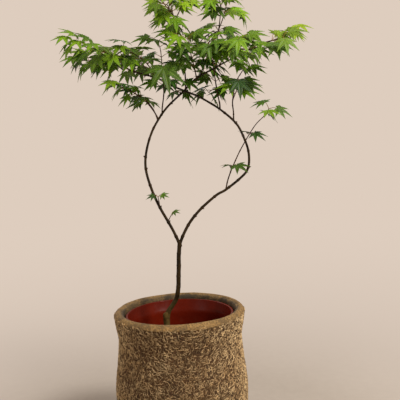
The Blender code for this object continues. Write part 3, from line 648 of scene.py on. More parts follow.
def leaf_look():
    """A living leaf: a pale midrib and side veins, each leaf a green mixed between a shaded and a lit mottle
    by its tint, which holds a random tone and painted light and shade, and redder tips and edges.
    """
    look, tree, shader, place = new_look("maple_leaf", 0.5)
    shader.inputs["Specular IOR Level"].default_value = 0.25
    uv = tree.nodes.new("ShaderNodeUVMap")
    uv.uv_map = "UVMap"
    parts = tree.nodes.new("ShaderNodeSeparateXYZ")
    linked(tree, uv.outputs["UV"], parts.inputs["Vector"])
    across = maths(tree, "ABSOLUTE", parts.outputs["X"])
    along = parts.outputs["Y"]
    # Painted light and shade: the tint holds each leaf's random tone together with painted light, lighter
    # higher in the crown, darker at the back and on the shaded shoots
    tint = attribute(tree, "tint")
    young = attribute(tree, "young")
    shaded_green, height = mottled(tree, place, rgb(6, 34, 2), rgb(28, 68, 8), 45.0, 420.0, 0.35)
    lit_green, _ = mottled(tree, place, rgb(82, 124, 4), rgb(126, 164, 12), 45.0, 420.0, 0.35)
    colour = mixed(tree, tint, shaded_green, lit_green)
    colour = mixed(tree, young, colour, rgb(164, 186, 28))
    # The red tips grow with the tint, so they are strongest on the leaves painted as lit
    tip = maths(tree, "MULTIPLY", ranged(tree, along, 0.86, 1.0, 0.0, 0.7), tint)
    colour = mixed(tree, tip, colour, rgb(124, 70, 34))
    edge = ranged(tree, across, 0.90, 1.0, 0.0, 0.25)
    colour = mixed(tree, edge, colour, rgb(98, 88, 30))
    rib = ranged(tree, across, 0.03, 0.13, 1.0, 0.0)
    steps = maths(tree, "MULTIPLY", along, 15.0)
    slant = maths(tree, "SUBTRACT", steps, maths(tree, "MULTIPLY", across, 1.6))
    wave = maths(tree, "ABSOLUTE", maths(tree, "SUBTRACT", maths(tree, "FRACT", slant), 0.5))
    side_vein = ranged(tree, wave, 0.0, 0.10, 0.5, 0.0)
    veins = maths(tree, "MAXIMUM", rib, side_vein)
    colour = mixed(tree, maths(tree, "MULTIPLY", veins, 0.35), colour, rgb(140, 168, 70))
    stalk = attribute(tree, "stalk")
    linked(tree, mixed(tree, stalk, colour, rgb(126, 74, 34)), shader.inputs["Base Color"])
    low = maths(tree, "SUBTRACT", maths(tree, "MULTIPLY", height, 0.35), veins)
    bumped(tree, shader, low, 0.5, 0.0003)
    shader.inputs["Subsurface Weight"].default_value = 0.25
    shader.inputs["Subsurface Radius"].default_value = (0.6, 1.0, 0.15)
    shader.inputs["Subsurface Scale"].default_value = 0.002
    return look


def plain_mottle_look(name, dark, light, roughness, patch, grain, bump=0.5, distance=0.0006):
    """A mottled material and nothing more."""
    look, tree, shader, place = new_look(name, roughness)
    colour, height = mottled(tree, place, dark, light, patch, grain, 0.5)
    linked(tree, colour, shader.inputs["Base Color"])
    bumped(tree, shader, height, bump, distance)
    return look


clay = clay_look()
fibres = fibre_look()
plastic = plastic_look()
bark = bark_look()
leaf_green = leaf_look()
earth = plain_mottle_look("potting_soil", rgb(20, 13, 8), rgb(70, 50, 34), 0.95, 70.0, 500.0, 0.9, 0.001)
crumb = plain_mottle_look("soil_crumbs", rgb(30, 20, 12), rgb(96, 70, 46), 0.95, 110.0, 600.0)
perlite = plain_mottle_look("perlite", rgb(190, 184, 170), rgb(236, 232, 222), 0.9, 160.0, 700.0)


# ---------------------------------------------------------------------------------- scattering small shapes

def make_scatter():
    """A Geometry Nodes group that strews small shapes over a surface, each turned and sized by chance."""
    tree = bpy.data.node_groups.new("scatter", "GeometryNodeTree")
    sockets = [
        ("Surface", "NodeSocketGeometry"), ("Density", "NodeSocketFloat"), ("Seed", "NodeSocketInt"),
        ("Smallest", "NodeSocketFloat"), ("Largest", "NodeSocketFloat"), ("Tumble", "NodeSocketFloat"),
        ("Shapes", "NodeSocketCollection"), ("Finish", "NodeSocketMaterial"),
    ]
    for label, kind in sockets:
        tree.interface.new_socket(label, in_out="INPUT", socket_type=kind)
    tree.interface.new_socket("Pieces", in_out="OUTPUT", socket_type="NodeSocketGeometry")
    given, made = tree.nodes.new("NodeGroupInput"), tree.nodes.new("NodeGroupOutput")
    points = tree.nodes.new("GeometryNodeDistributePointsOnFaces")
    shapes = tree.nodes.new("GeometryNodeCollectionInfo")
    shapes.inputs["Separate Children"].default_value = True
    shapes.inputs["Reset Children"].default_value = True
    turn = tree.nodes.new("FunctionNodeRandomValue")
    turn.data_type = "FLOAT_VECTOR"
    size = tree.nodes.new("FunctionNodeRandomValue")
    shade = tree.nodes.new("FunctionNodeRandomValue")
    low = tree.nodes.new("ShaderNodeCombineXYZ")
    high = tree.nodes.new("ShaderNodeCombineXYZ")
    for node, sign in ((low, -1.0), (high, 1.0)):
        for axis in (0, 1):
            linked(tree, maths(tree, "MULTIPLY", given.outputs["Tumble"], sign), node.inputs[axis])
        node.inputs[2].default_value = sign * math.pi
    spin = tree.nodes.new("FunctionNodeRotateRotation")
    spin.rotation_space = "LOCAL"
    to_turn = tree.nodes.new("FunctionNodeEulerToRotation")
    put = tree.nodes.new("GeometryNodeInstanceOnPoints")
    put.inputs["Pick Instance"].default_value = True
    mark = tree.nodes.new("GeometryNodeStoreNamedAttribute")
    mark.data_type = "FLOAT"
    mark.domain = "INSTANCE"
    mark.inputs["Name"].default_value = "tint"
    real = tree.nodes.new("GeometryNodeRealizeInstances")
    paint = tree.nodes.new("GeometryNodeSetMaterial")
    seed_two = maths(tree, "ADD", given.outputs["Seed"], 11.0)
    seed_three = maths(tree, "ADD", given.outputs["Seed"], 23.0)
    for source, target in (
        (given.outputs["Surface"], points.inputs["Mesh"]),
        (given.outputs["Density"], points.inputs["Density"]),
        (given.outputs["Seed"], points.inputs["Seed"]),
        (given.outputs["Shapes"], shapes.inputs["Collection"]),
        (low.outputs[0], turn.inputs[0]),
        (high.outputs[0], turn.inputs[1]),
        (given.outputs["Seed"], turn.inputs["Seed"]),
        (given.outputs["Smallest"], size.inputs[2]),
        (given.outputs["Largest"], size.inputs[3]),
        (seed_two, size.inputs["Seed"]),
        (seed_three, shade.inputs["Seed"]),
        (turn.outputs[0], to_turn.inputs[0]),
        (points.outputs["Rotation"], spin.inputs["Rotation"]),
        (to_turn.outputs[0], spin.inputs["Rotate By"]),
        (points.outputs["Points"], put.inputs["Points"]),
        (shapes.outputs[0], put.inputs["Instance"]),
        (spin.outputs[0], put.inputs["Rotation"]),
        (size.outputs[1], put.inputs["Scale"]),
        (put.outputs[0], mark.inputs["Geometry"]),
        (shade.outputs[1], mark.inputs["Value"]),
        (mark.outputs[0], real.inputs[0]),
        (real.outputs[0], paint.inputs["Geometry"]),
        (given.outputs["Finish"], paint.inputs["Material"]),
        (paint.outputs[0], made.inputs[0]),
    ):
        linked(tree, source, target)
    return tree


SCATTER = make_scatter()


def strewn(name, surface, shapes, finish, density, seed, smallest, largest, tumble=0.0):
    """A plain mesh of small shapes strewn over a surface mesh."""
    holder = in_scene(name, surface)
    group = bpy.data.collections.new(f"{name}_shapes")
    bpy.context.scene.collection.children.link(group)
    for k, shape in enumerate(shapes):
        group.objects.link(bpy.data.objects.new(f"{name}_shape_{k}", shape))
    modifier = holder.modifiers.new("scatter", "NODES")
    modifier.node_group = SCATTER
    wanted = {"Density": density, "Seed": seed, "Smallest": smallest, "Largest": largest, "Tumble": tumble,
              "Shapes": group, "Finish": finish}
    for item in SCATTER.interface.items_tree:
        if item.in_out == "INPUT" and item.name in wanted:
            modifier[item.identifier] = wanted[item.name]
    mesh = plain_mesh(name, holder)
    for shape in list(group.objects):
        bpy.data.objects.remove(shape)
    bpy.data.collections.remove(group)
    return shade_smooth(mesh)


# ---------------------------------------------------------------------------------------------------- planter

def lathe_mesh(name, profile, segments, shift=None, lip=None):
    """A closed round piece whose profile runs from the axis, down its outer side and back to the axis."""
    corners, faces, values, uv = [], [], [], []
    inner = profile[1:-1]
    for k in range(segments):
        angle = math.tau * k / segments
        for j, (r, z) in enumerate(inner):
            if shift:
                r, z = shift(r, z, angle, j)
            corners.append((r * math.cos(angle), r * math.sin(angle), z))
            values.append(lip(j) if lip else 0.0)
            uv.append((angle * 0.125, z))
    rows = len(inner)
    ends = []
    for (r, z), j in ((profile[0], 0), (profile[-1], rows - 1)):
        ends.append(len(corners))
        corners.append((0.0, 0.0, z))
        values.append(lip(j) if lip else 0.0)
        uv.append((0.0, z))
    for k in range(segments):
        a, b = k * rows, (k + 1) % segments * rows
        for j in range(rows - 1):
            faces.append((a + j, a + j + 1, b + j + 1, b + j))
        faces.append((ends[0], a, b))
        faces.append((ends[1], b + rows - 1, a + rows - 1))
    return mesh_of(name, corners, faces, floats=[("lip", values)], uv=uv)


def through(points, step):
    """A profile's points along a smooth curve through the given ones, about one step apart."""
    route = smooth_route([Vector((r, 0.0, z)) for r, z in points], 24)
    out, last = [], None
    for p in route:
        if last is None or (p - last).length >= step:
            out.append((p.x, p.z))
            last = p
    return out


def wobble(angle, z, seed):
    """A slow uneven swell round a hand-formed wall, from -1 to 1."""
    spot = Vector((math.cos(angle) * 1.3, math.sin(angle) * 1.3, z * 9.0 + seed))
    return noise.noise(spot) * 1.4


lip_radius = LIP_WIDTH / 2
lip_z = PLANTER_HEIGHT - lip_radius
neck_z = PLANTER_HEIGHT - NECK_DROP
belly_z = PLANTER_HEIGHT - BELLY_DROP
neck_bore = min(RIM_RADIUS - LIP_WIDTH, NECK_RADIUS - PLANTER_WALL)
foot_bore = FOOT_RADIUS - PLANTER_WALL
SKIN = 0.0006  # the wall lies this far inside the clay's outline, for the strokes that stand on it
wall_points = [
    (RIM_RADIUS - 0.0004, lip_z),
    (RIM_RADIUS - 0.0008, lip_z - 0.006),
    ((RIM_RADIUS + NECK_RADIUS) / 2 + 0.0006, lip_z - 0.020),
    (NECK_RADIUS + 0.0012, neck_z + 0.016),
    (NECK_RADIUS, neck_z),
    ((NECK_RADIUS + BELLY_RADIUS) / 2, (neck_z + belly_z) / 2),
    (BELLY_RADIUS - 0.0010, belly_z + 0.020),
    (BELLY_RADIUS, belly_z - 0.015),
    (BELLY_RADIUS * 0.6 + FOOT_RADIUS * 0.4, belly_z * 0.45),
    (FOOT_RADIUS + 0.0015, FOOT_ROUNDING + 0.016),
    (FOOT_RADIUS, FOOT_ROUNDING),
]
bore_points = [(foot_bore, PLANTER_FLOOR), (BELLY_RADIUS - PLANTER_WALL, belly_z), (neck_bore, neck_z)]
bore = through(bore_points, 0.006)
LIP_GROOVE = 0.0011  # depth of the fold that runs round the top of the lip
GROOVE_TURN, GROOVE_SPREAD = 118.0, 15.0  # its place and half its width, in degrees round the lip
LIP_TURN, LIP_STEPS = 176.0, 32
lip_arc = []
for k in range(LIP_STEPS + 1):
    turn = 180.0 - LIP_TURN * k / LIP_STEPS
    reach = lip_radius - LIP_GROOVE * math.exp(-((turn - GROOVE_TURN) / GROOVE_SPREAD) ** 2)
    lip_arc.append((RIM_RADIUS - lip_radius + reach * math.cos(math.radians(turn)),
                    lip_z + reach * math.sin(math.radians(turn))))
wall = [(r - SKIN, z) for r, z in through(wall_points, 0.0026)]
foot = arc(FOOT_RADIUS - FOOT_ROUNDING, FOOT_ROUNDING, FOOT_ROUNDING - SKIN, -8, -90, 7)
planter_profile = [(0.0, PLANTER_FLOOR)] + bore + lip_arc + wall + foot + [(0.0, 0.0)]
LIP_FIRST = len(bore)
WALL_FIRST = len(bore) + len(lip_arc)
FOOT_FIRST = WALL_FIRST + len(wall)
LIP_EDGE = 2  # rows of wall over which the lip's smooth clay fades into rough clay


def hand_formed(r, z, angle, row):
    """Where a corner of the planter lies, with the unevenness of hand-formed clay."""
    if LIP_FIRST <= row < WALL_FIRST:
        swell = wobble(angle, 0.0, 3.0)
        ripple = noise.noise(Vector((math.cos(angle) * 7.0, math.sin(angle) * 7.0, z * 60.0)))
        return r + swell * 0.0004 + ripple * 0.0003, z - 0.0004 + swell * 0.0007 + ripple * 0.0003
    if WALL_FIRST <= row < FOOT_FIRST:
        return r - 0.0002 + wobble(angle, z, 8.0) * 0.0009, z
    return r, z


def lip_value(row):
    """How much a row of the planter's profile belongs to the smooth lip and inside, from 0 to 1."""
    if row < WALL_FIRST:
        return 1.0
    return max(0.0, 1.0 - (row - WALL_FIRST + 1) / LIP_EDGE)


PLANTER_SEGMENTS = 256
planter_mesh = lathe_mesh("planter_body", planter_profile, PLANTER_SEGMENTS, hand_formed, lip_value)
add_piece("planter_body", planter_mesh, clay, slot="rough_clay", stands_for=["planter"])


RAGGED_DROP = 0.003  # the most that the rough clay's upper edge drops below the lip
RAGGED_BAND = 0.004  # how far below the lip that edge may start


def wall_surface(name):
    """The rough part of the planter's wall, as the surface that strokes of clay stand on."""
    rows = lip_arc[-2:] + wall[1:] + [foot[0]]
    count = len(rows)
    corners, faces = [], []
    for k in range(PLANTER_SEGMENTS):
        angle = math.tau * k / PLANTER_SEGMENTS
        for r, z in rows:
            r, _ = hand_formed(r, z, angle, WALL_FIRST)
            ragged = RAGGED_DROP * max(0.0, wobble(angle * 3, 0.0, 2.0)) * (z > lip_z - RAGGED_BAND)
            corners.append((r * math.cos(angle), r * math.sin(angle), z - ragged))
    for k in range(PLANTER_SEGMENTS):
        a, b = k * count, (k + 1) % PLANTER_SEGMENTS * count
        for j in range(count - 1):
            faces.append((a + j, a + j + 1, b + j + 1, b + j))
    return mesh_of(name, corners, faces)


STROKE_STATIONS = 4
STROKE_SINK = 0.0005


def clay_stroke(name, bend, length, width, height):
    """One raised worm of clay that lies along X and sinks a little into the wall below it."""
    corners, faces = [], []
    for k in range(STROKE_STATIONS):
        t = k / (STROKE_STATIONS - 1) * 2 - 1
        slim = (1 - abs(t) ** 3 * 0.75)
        x, y = t * length / 2, bend * (t * t - 0.4) + 0.25 * bend * math.sin(t * 4)
        side = width / 2 * slim
        corners += [(x, y - side, -STROKE_SINK), (x, y, height * slim), (x, y + side, -STROKE_SINK)]
    for k in range(STROKE_STATIONS - 1):
        a, b = k * 3, k * 3 + 3
        for j in range(3):
            i = (j + 1) % 3
            faces.append((a + j, b + j, b + i, a + i))
    last = len(corners) - 1
    faces += [(0, 1, 2), (last, last - 1, last - 2)]
    return mesh_of(name, corners, faces)


# Each stroke: its name, then its bend, length, width and height
strokes = [
    ("stroke_long", 0.0007, 0.0088, 0.0008, 0.0011),
    ("stroke_arched", -0.0011, 0.0072, 0.0009, 0.0012),
    ("stroke_straight", 0.0002, 0.0066, 0.0008, 0.0011),
    ("stroke_short", 0.0004, 0.0046, 0.0010, 0.0011),
]
STROKE_DENSITY = 37000.0  # strokes on a square metre, in each of the four layers
STROKE_SEEDS = {"clay_fibres_a": 5, "clay_fibres_b": 71, "clay_fibres_c": 140, "clay_fibres_d": 233}
for name, seed in STROKE_SEEDS.items():
    shapes = [clay_stroke(f"{name}_{label}", *size) for label, *size in strokes]
    made = strewn(name, wall_surface(name + "_wall"), shapes, fibres, STROKE_DENSITY, seed, 0.75, 1.15)
    add_piece(name, made, slot="rough_clay")


# ------------------------------------------------------------------------------------------ grow pot and soil

rim_z = PLANTER_HEIGHT - LINER_DROP
bottom_z = PLANTER_FLOOR + GAP
flange_radius = neck_bore - LINER_CLEARANCE
top_radius = flange_radius - LINER_FLANGE
base_radius = min(top_radius - LINER_TAPER, foot_bore - 0.004)
slope = (top_radius - base_radius) / (rim_z - bottom_z)
liner_floor = bottom_z + LINER_WALL * 1.5


def liner_bore(height):
    """The radius inside the grow pot at a height."""
    return base_radius + slope * (height - bottom_z) - LINER_WALL


LINER_CORNER = 0.003  # width of the bevel between the pot's floor and its wall
LINER_ROWS = 26
DRILL_DEPTH = 0.02


def liner_piece():
    """The grow pot, with a rounded turned-out rim, a step below it, and drain holes in its floor."""
    half = LINER_FLANGE_HEIGHT / 2
    corner = liner_floor + LINER_CORNER
    flange_foot = rim_z - LINER_FLANGE_HEIGHT
    profile = [(0.0, liner_floor), (liner_bore(liner_floor) - LINER_CORNER, liner_floor)]
    profile += [(liner_bore(corner), corner)]
    for k in range(1, LINER_ROWS):
        height = corner + (rim_z - 0.024 - liner_floor) * k / LINER_ROWS
        profile.append((liner_bore(height), height))
    profile += [
        (liner_bore(rim_z - 0.020), rim_z - 0.020), (liner_bore(rim_z) + 0.0006, rim_z - 0.0185),
        (liner_bore(rim_z) + 0.0004, rim_z - 0.0012), (liner_bore(rim_z) + 0.0012, rim_z),
        (flange_radius - half, rim_z),
    ]
    profile += arc(flange_radius - half, rim_z - half, half, 80, -80, 6)
    profile += [
        (top_radius + 0.0006, flange_foot), (top_radius, flange_foot - 0.001),
        (base_radius + 0.0002, bottom_z + 0.003), (base_radius - 0.002, bottom_z), (0.0, bottom_z),
    ]
    pot = in_scene("liner_shape", lathe_mesh("liner_shape", profile, 128))
    drill = bmesh.new()
    for k in range(DRAIN_HOLES):
        angle = math.tau * (k + 0.5) / DRAIN_HOLES
        spot = Vector((math.cos(angle), math.sin(angle), 0.0)) * DRAIN_CIRCLE_RADIUS + UP * bottom_z
        bmesh.ops.create_cone(drill, cap_ends=True, segments=24, radius1=DRAIN_HOLE_RADIUS,
                              radius2=DRAIN_HOLE_RADIUS, depth=DRILL_DEPTH, matrix=Matrix.Translation(spot))
    cutter_mesh = bpy.data.meshes.new("drain_holes")
    drill.to_mesh(cutter_mesh)
    drill.free()
    cutter = in_scene("drain_holes", cutter_mesh)
    cut = pot.modifiers.new("drain holes", "BOOLEAN")
    cut.operation = "DIFFERENCE"
    cut.solver = "EXACT"
    cut.object = cutter
    made = plain_mesh("liner_pot", pot)
    bpy.data.objects.remove(cutter)
    return made


add_piece("grow_pot", liner_piece(), plastic, slot="oxblood_plastic", stands_for=["liner"])

soil_z = PLANTER_HEIGHT - SOIL_DROP
stump_route = in_metres(STUMP)
stem_foot = Vector((stump_route[1].x, 0.0, 0.0))
SOIL_HOLE = STUMP_RADIUS * MM + 0.0011
SOIL_RINGS, SOIL_SEGMENTS = 34, 150


def soil_height(x, y):
    """The height of the soil's uneven surface."""
    share = min(1.0, math.hypot(x, y) / liner_bore(soil_z))
    rough = noise.noise(Vector((x, y, 0.0)) * 60.0) * 0.0016
    rough += noise.noise(Vector((x, y, 4.0)) * 190.0) * 0.0008
    return soil_z + SOIL_MOUND * (1 - share ** 1.6) + rough * min(1.0, (1 - share) * 8) - 0.0006


def soil_rings():
    """Rings of the soil's surface, from a collar round the stump out to the pot's wall."""
    edge = liner_bore(soil_z) - GAP
    corners = []
    for j in range(SOIL_RINGS + 1):
        t = (j / SOIL_RINGS) ** 1.25
        for k in range(SOIL_SEGMENTS):
            angle = math.tau * k / SOIL_SEGMENTS
            way = Vector((math.cos(angle), math.sin(angle), 0.0))
            near = stem_foot + way * SOIL_HOLE
            spot = near.lerp(way * edge, t)
            corners.append((spot.x, spot.y, soil_height(spot.x, spot.y)))
    faces = []
    for j in range(SOIL_RINGS):
        for k in range(SOIL_SEGMENTS):
            n = (k + 1) % SOIL_SEGMENTS
            a, b = j * SOIL_SEGMENTS, (j + 1) * SOIL_SEGMENTS
            faces.append((a + k, b + k, b + n, a + n))
    return corners, faces


def soil_piece():
    """The potting mix as a closed ring-shaped block, open where the stump stands in it."""
    corners, faces = soil_rings()
    foot_z = liner_floor + GAP
    well_z = stump_route[0].z - 0.0006
    top_edge = SOIL_RINGS * SOIL_SEGMENTS
    outer = len(corners)
    well = outer + SOIL_SEGMENTS
    for centre_x, radius, z in ((0.0, liner_bore(foot_z) - GAP, foot_z), (stem_foot.x, SOIL_HOLE, well_z)):
        for k in range(SOIL_SEGMENTS):
            angle = math.tau * k / SOIL_SEGMENTS
            corners.append((centre_x + math.cos(angle) * radius, math.sin(angle) * radius, z))
    for k in range(SOIL_SEGMENTS):
        n = (k + 1) % SOIL_SEGMENTS
        faces.append((top_edge + k, outer + k, outer + n, top_edge + n))
        faces.append((k, n, well + n, well + k))
    faces.append(tuple(reversed(range(outer, well))))
    faces.append(tuple(range(well, well + SOIL_SEGMENTS)))
    return mesh_of("soil_block", corners, faces)


add_piece("soil_block", soil_piece(), earth, slot="potting_soil", stands_for=["soil"])


def crumb_shape(name, seed, flat):
    """A small uneven lump."""
    shape = bmesh.new()
    bmesh.ops.create_icosphere(shape, subdivisions=1, radius=1.0)
    for corner in shape.verts:
        lump = 1.0 + noise.noise(corner.co * 1.7 + Vector((seed, 0.0, 0.0))) * 0.6
        corner.co = corner.co * lump * MM
        corner.co.z *= flat
    mesh = bpy.data.meshes.new(name)
    shape.to_mesh(mesh)
    shape.free()
    return mesh


def strewn_on_soil(name, density, seed, smallest, largest, flat, finish):
    """A layer of loose lumps on the soil, as a piece of its own."""
    surface = mesh_of(name + "_ground", *soil_rings())
    shapes = [crumb_shape(f"{name}_{k}", 3.1 * k + seed, flat) for k in range(4)]
    made = strewn(name, surface, shapes, finish, density, seed, smallest, largest, 0.6)
    add_piece(name, made, slot="potting_soil")


strewn_on_soil("soil_crumbs", 90000.0, 3, 0.5, 1.5, 0.8, crumb)
strewn_on_soil("bark_chips", 6000.0, 9, 1.6, 3.4, 0.35, bark)
strewn_on_soil("perlite_grains", 7000.0, 17, 0.7, 1.5, 0.9, perlite)


# ------------------------------------------------------------------------------------------------------- wood

stem_routes = {name: in_metres(points) for name, (points, _, _) in STEMS.items()}
routes = {name: smooth_route(points) for name, points in stem_routes.items()}
radii = {name: (start * MM, end * MM) for name, (_, start, end) in STEMS.items()}
fine_points = dict(stem_routes)
for name, (parent, where, offsets, ends, _) in SHOOTS.items():
    parent_route = routes[parent]
    index = min(where * ROUTE_STEPS, len(parent_route) - 1)
    at, way = at_place(parent_route, index)
    share = index / (len(parent_route) - 1)
    thick = radii[parent][0] + (radii[parent][1] - radii[parent][0]) * share
    thin = ends[0] * MM
    first = Vector(offsets[0])
    lean = first.angle(way)
    if share == 1.0:
        skip = (GAP + thin * math.sin(lean)) / max(math.cos(lean), 0.3)
    else:
        skip = (thick + GAP + thin * abs(math.cos(lean))) / max(math.sin(lean), 0.35)
    points = [at + first.normalized() * skip] + [at + Vector(o) * MM for o in offsets]
    routes[name] = smooth_route(points)
    radii[name] = (thin, ends[1] * MM)
    fine_points[name] = [points[0] - first.normalized() * skip] + points

wood = Gathered("age", "fresh")
buds = Gathered("tint")
chance = np.random.default_rng(12)


def measured(route):
    """How far along a route each of its points lies, in metres."""
    along = [0.0]
    for a, b in zip(route, route[1:]):
        along.append(along[-1] + (b - a).length)
    return along


def bud(at, way, out, size):
    """A pointed bud in the angle between a stem and its side."""
    lean = (out + way * 0.9).normalized()
    steps = [(0.0, 0.55), (0.3, 0.62), (0.65, 0.42), (0.92, 0.14), (1.0, 0.02)]
    route = [at + lean * size * t for t, _ in steps]
    corners, faces, uv = sweep(route, [size * 0.62 * r for _, r in steps], 7)
    buds.add(corners, faces, uv, tint=float(chance.random()))


BUD_SHARE = 0.62  # how many of the nodes' sides have a bud
OLD_BARK_TOP, OLD_BARK_FADE = 0.345, 0.05  # the height where old bark has ended, and how far below it fades


def stem_tube(points, start, end, sides, spacing, flare, swell, bud_size, steps=12):
    """A stem with rings at its nodes, a collar where it leaves its parent, and buds on its nodes."""
    route = smooth_route(points, steps)
    along = measured(route)
    total = along[-1]
    nodes = []
    at = spacing * 0.7
    while at < total - 0.006:
        nodes.append(at)
        at += spacing * (0.75 + 0.5 * chance.random())
    thickness = []
    for k, s in enumerate(along):
        r = start + (end - start) * s / total
        ring = sum(math.exp(-((s - n) / 0.0017) ** 2) for n in nodes)
        collar = (flare - 1.0) * math.exp(-s / (start * 2.6))
        uneven = noise.noise(route[k] * 95.0) * 0.06
        tip = min(1.0, 0.55 + (total - s) / (end * 1.6))
        thickness.append(r * (1.0 + swell * ring + collar + uneven) * tip)
    shift = [Vector((noise.noise(p * 34.0), noise.noise(p * 34.0 + UP), 0.0)) * start * 0.16 for p in route]
    bent = [p + o * min(1.0, s / 0.02) * min(1.0, (total - s) / 0.02) for p, o, s in zip(route, shift, along)]
    corners, faces, uv = sweep(bent, thickness, sides)
    age = [min(1.0, max(0.0, (OLD_BARK_TOP - corner.z) / OLD_BARK_FADE)) for corner in corners]
    fresh = [min(1.0, max(0.0, 1.2 - start / 0.0016))] * len(corners)
    wood.add(corners, faces, uv=uv, age=age, fresh=fresh)
    for n in nodes:
        k = min(range(len(along)), key=lambda i: abs(along[i] - n))
        way = (route[min(k + 1, len(route) - 1)] - route[max(k - 1, 0)]).normalized()
        out = Quaternion(way, chance.random() * math.tau) @ way.orthogonal().normalized()
        for sign in (1, -1):
            if chance.random() < BUD_SHARE:
                bud(bent[k] + out * sign * thickness[k] * 0.75, way, out * sign, bud_size)


# The old stump: cut back above the place where the leader grew from its side
STUMP_SIDES = 22
BARE_HEIGHT = 0.004  # above this height over the soil the stump is free of its hole
stump_steps = smooth_route(stump_route, 26)
stump_radii = []
for p in stump_steps:
    height = (p.z - soil_z) / MM
    root_flare = 0.42 * math.exp(-max(height, 0.0) / 7.0) * (height > -6)
    knob = 0.16 * math.exp(-((height - 96.0) / 9.0) ** 2)
    radius = STUMP_RADIUS * MM * (1.0 + root_flare + knob + noise.noise(p * 120.0) * 0.08)
    stump_radii.append(min(radius, SOIL_HOLE - 0.0004) if p.z < soil_z + BARE_HEIGHT else radius)
top = stump_steps[-1]
stump_steps += [top + Vector((-0.0002, 0.0, 0.0016)), top + Vector((-0.0004, 0.0, 0.0024))]
stump_radii += [stump_radii[-1] * 0.90, stump_radii[-1] * 0.62]
corners, faces, uv = sweep(stump_steps, stump_radii, STUMP_SIDES)
for k, c in enumerate(corners):
    out = c - stump_steps[k // STUMP_SIDES]
    if c.z > soil_z + BARE_HEIGHT and out.length > 0:
        lump = noise.noise(c * 210.0) * 0.0007
        slant = (c.x - top.x) * 0.35 * max(0.0, (c.z - top.z + 0.006) / 0.006)
        corners[k] = c + out.normalized() * lump + UP * slant
wood.add(corners, faces, uv=uv, age=1.0, fresh=0.0)

stem_tube(fine_points["trunk"], *radii["trunk"], 20, 0.026, flare=1.32, swell=0.10, bud_size=0.0016)
fork = fine_points["trunk"][-1]
for name, side in (("left_stem", -1), ("right_stem", 1)):
    start, end = radii[name]
    lead = [fork + Vector((side * 0.0010, 0.0, -0.012)), fork + Vector((side * 0.0020, 0.0, -0.003))]
    points = lead + fine_points[name][1:]
    stem_tube(points, start * 1.08, end, 16, 0.030, flare=1.28, swell=0.30, bud_size=0.0034)
for name in SHOOTS:
    points = fine_points[name][:1] + fine_points[name][2:]
    stem_tube(points, *radii[name], 10, 0.021, flare=1.5, swell=0.18, bud_size=0.0013, steps=10)

add_piece("tree_wood", wood.mesh("tree_wood"), bark, slot="maple_bark",
          stands_for=["trunk", "left_stem", "right_stem"])
bud_look = plain_mottle_look("maple_buds", rgb(38, 22, 12), rgb(84, 50, 30), 0.6, 300.0, 900.0, 0.3, 0.0002)
add_piece("buds", buds.mesh("buds"), bud_look, slot="maple_bark")


# ----------------------------------------------------------------------------------------------------- leaves

# How much painted shade darkens the green of the shoots that lie in the crown's shade
SHADED = {"front_leaf": 0.6, "dark_spray": 0.3, "heart_back": 0.2, "riser_low": 0.2}
TIP_MATCH = 0.0001  # how near a lobe's tip lies to the solid model's corner


def leaf_spot(root, along, kind, sign, roll, length, turn, dip):
    """Where a leaf hangs: its petiole's root, and the matrix of its blade."""
    level = along.cross(UP)
    level = level.normalized() if level.length > 0.35 else Vector((1.0, 0.0, 0.0))
    side = Matrix.Rotation(math.radians(roll + turn * sign), 3, along) @ level
    if kind == "pair":
        reach = (along * 0.62 + side * sign).normalized()
    elif kind == "one":
        reach = (along + side * math.sin(math.radians(turn)) * 1.6).normalized()
    else:
        reach = (Vector((math.sin(math.radians(turn)), -0.5, 0.25)) + along * 0.3).normalized()
    reach.z *= 0.65
    reach.normalize()
    end = root + reach * length * PETIOLE_SHARE
    flat = Vector((reach.x, reach.y, 0.0)) + Vector((end.x, end.y, 0.0)).normalized() * 0.25
    flat.normalize()
    fall = math.radians(LEAF_FALL + dip + 30 * max(0.0, -flat.y) - 40 * reach.z)
    pull = LIGHT_SIDE + UP * 0.3 + flat * 0.3
    if kind == "hang":
        fall = math.radians(80 - dip)
        pull = Vector((0.1, -1.0, 0.1))
    midrib = (flat * math.cos(fall) - UP * math.sin(fall) + reach * 0.25).normalized()
    face = (pull - midrib * pull.dot(midrib)).normalized()
    across = midrib.cross(face)
    spot = Matrix.Translation(end) @ Matrix((across, midrib, face)).transposed().to_4x4()
    return root - along * 0.0004 * sign, spot


def tips_match(tree, spot, length):
    """Whether the lobe tips of a blade in this pose are all corners of its shoot."""
    for angle, reach in CAD_TIPS:
        a = math.radians(angle)
        tip = Vector((math.sin(a) * reach, math.cos(a) * reach, -BLADE_DROOP * reach * reach)) * length
        if tree.find(spot @ tip)[2] > TIP_MATCH:
            return False
    return True


def found_leaf(tree, root, along, kind, sign, roll, length):
    """The pose that the solid model gave a leaf: the first one whose lobe tips are corners of its shoot."""
    for size in LEAF_SIZES:
        for dip in LEAF_DIPS:
            for turn in LEAF_TURNS:
                long = length * size
                start, spot = leaf_spot(root, along, kind, sign, roll, long, turn, dip)
                if tips_match(tree, spot, long):
                    return start, spot, long
    return None


ROWS = 17  # of corners from the blade's centre to a lobe's tip
NOTCH_ROW = 4  # the row where neighbouring lobes part
LOBE_ANGLES = np.radians([-119, -82, -40, 0, 40, 82, 119])
LOBE_REACH = np.array([0.36, 0.68, 0.90, 1.0, 0.90, 0.68, 0.36])
SIDE_ANGLES = np.radians([-148, -102, -60, -19, 19, 60, 102, 148])
SIDE_REACH = np.array([0.08, 0.20, 0.27, 0.30, 0.30, 0.27, 0.20, 0.08])


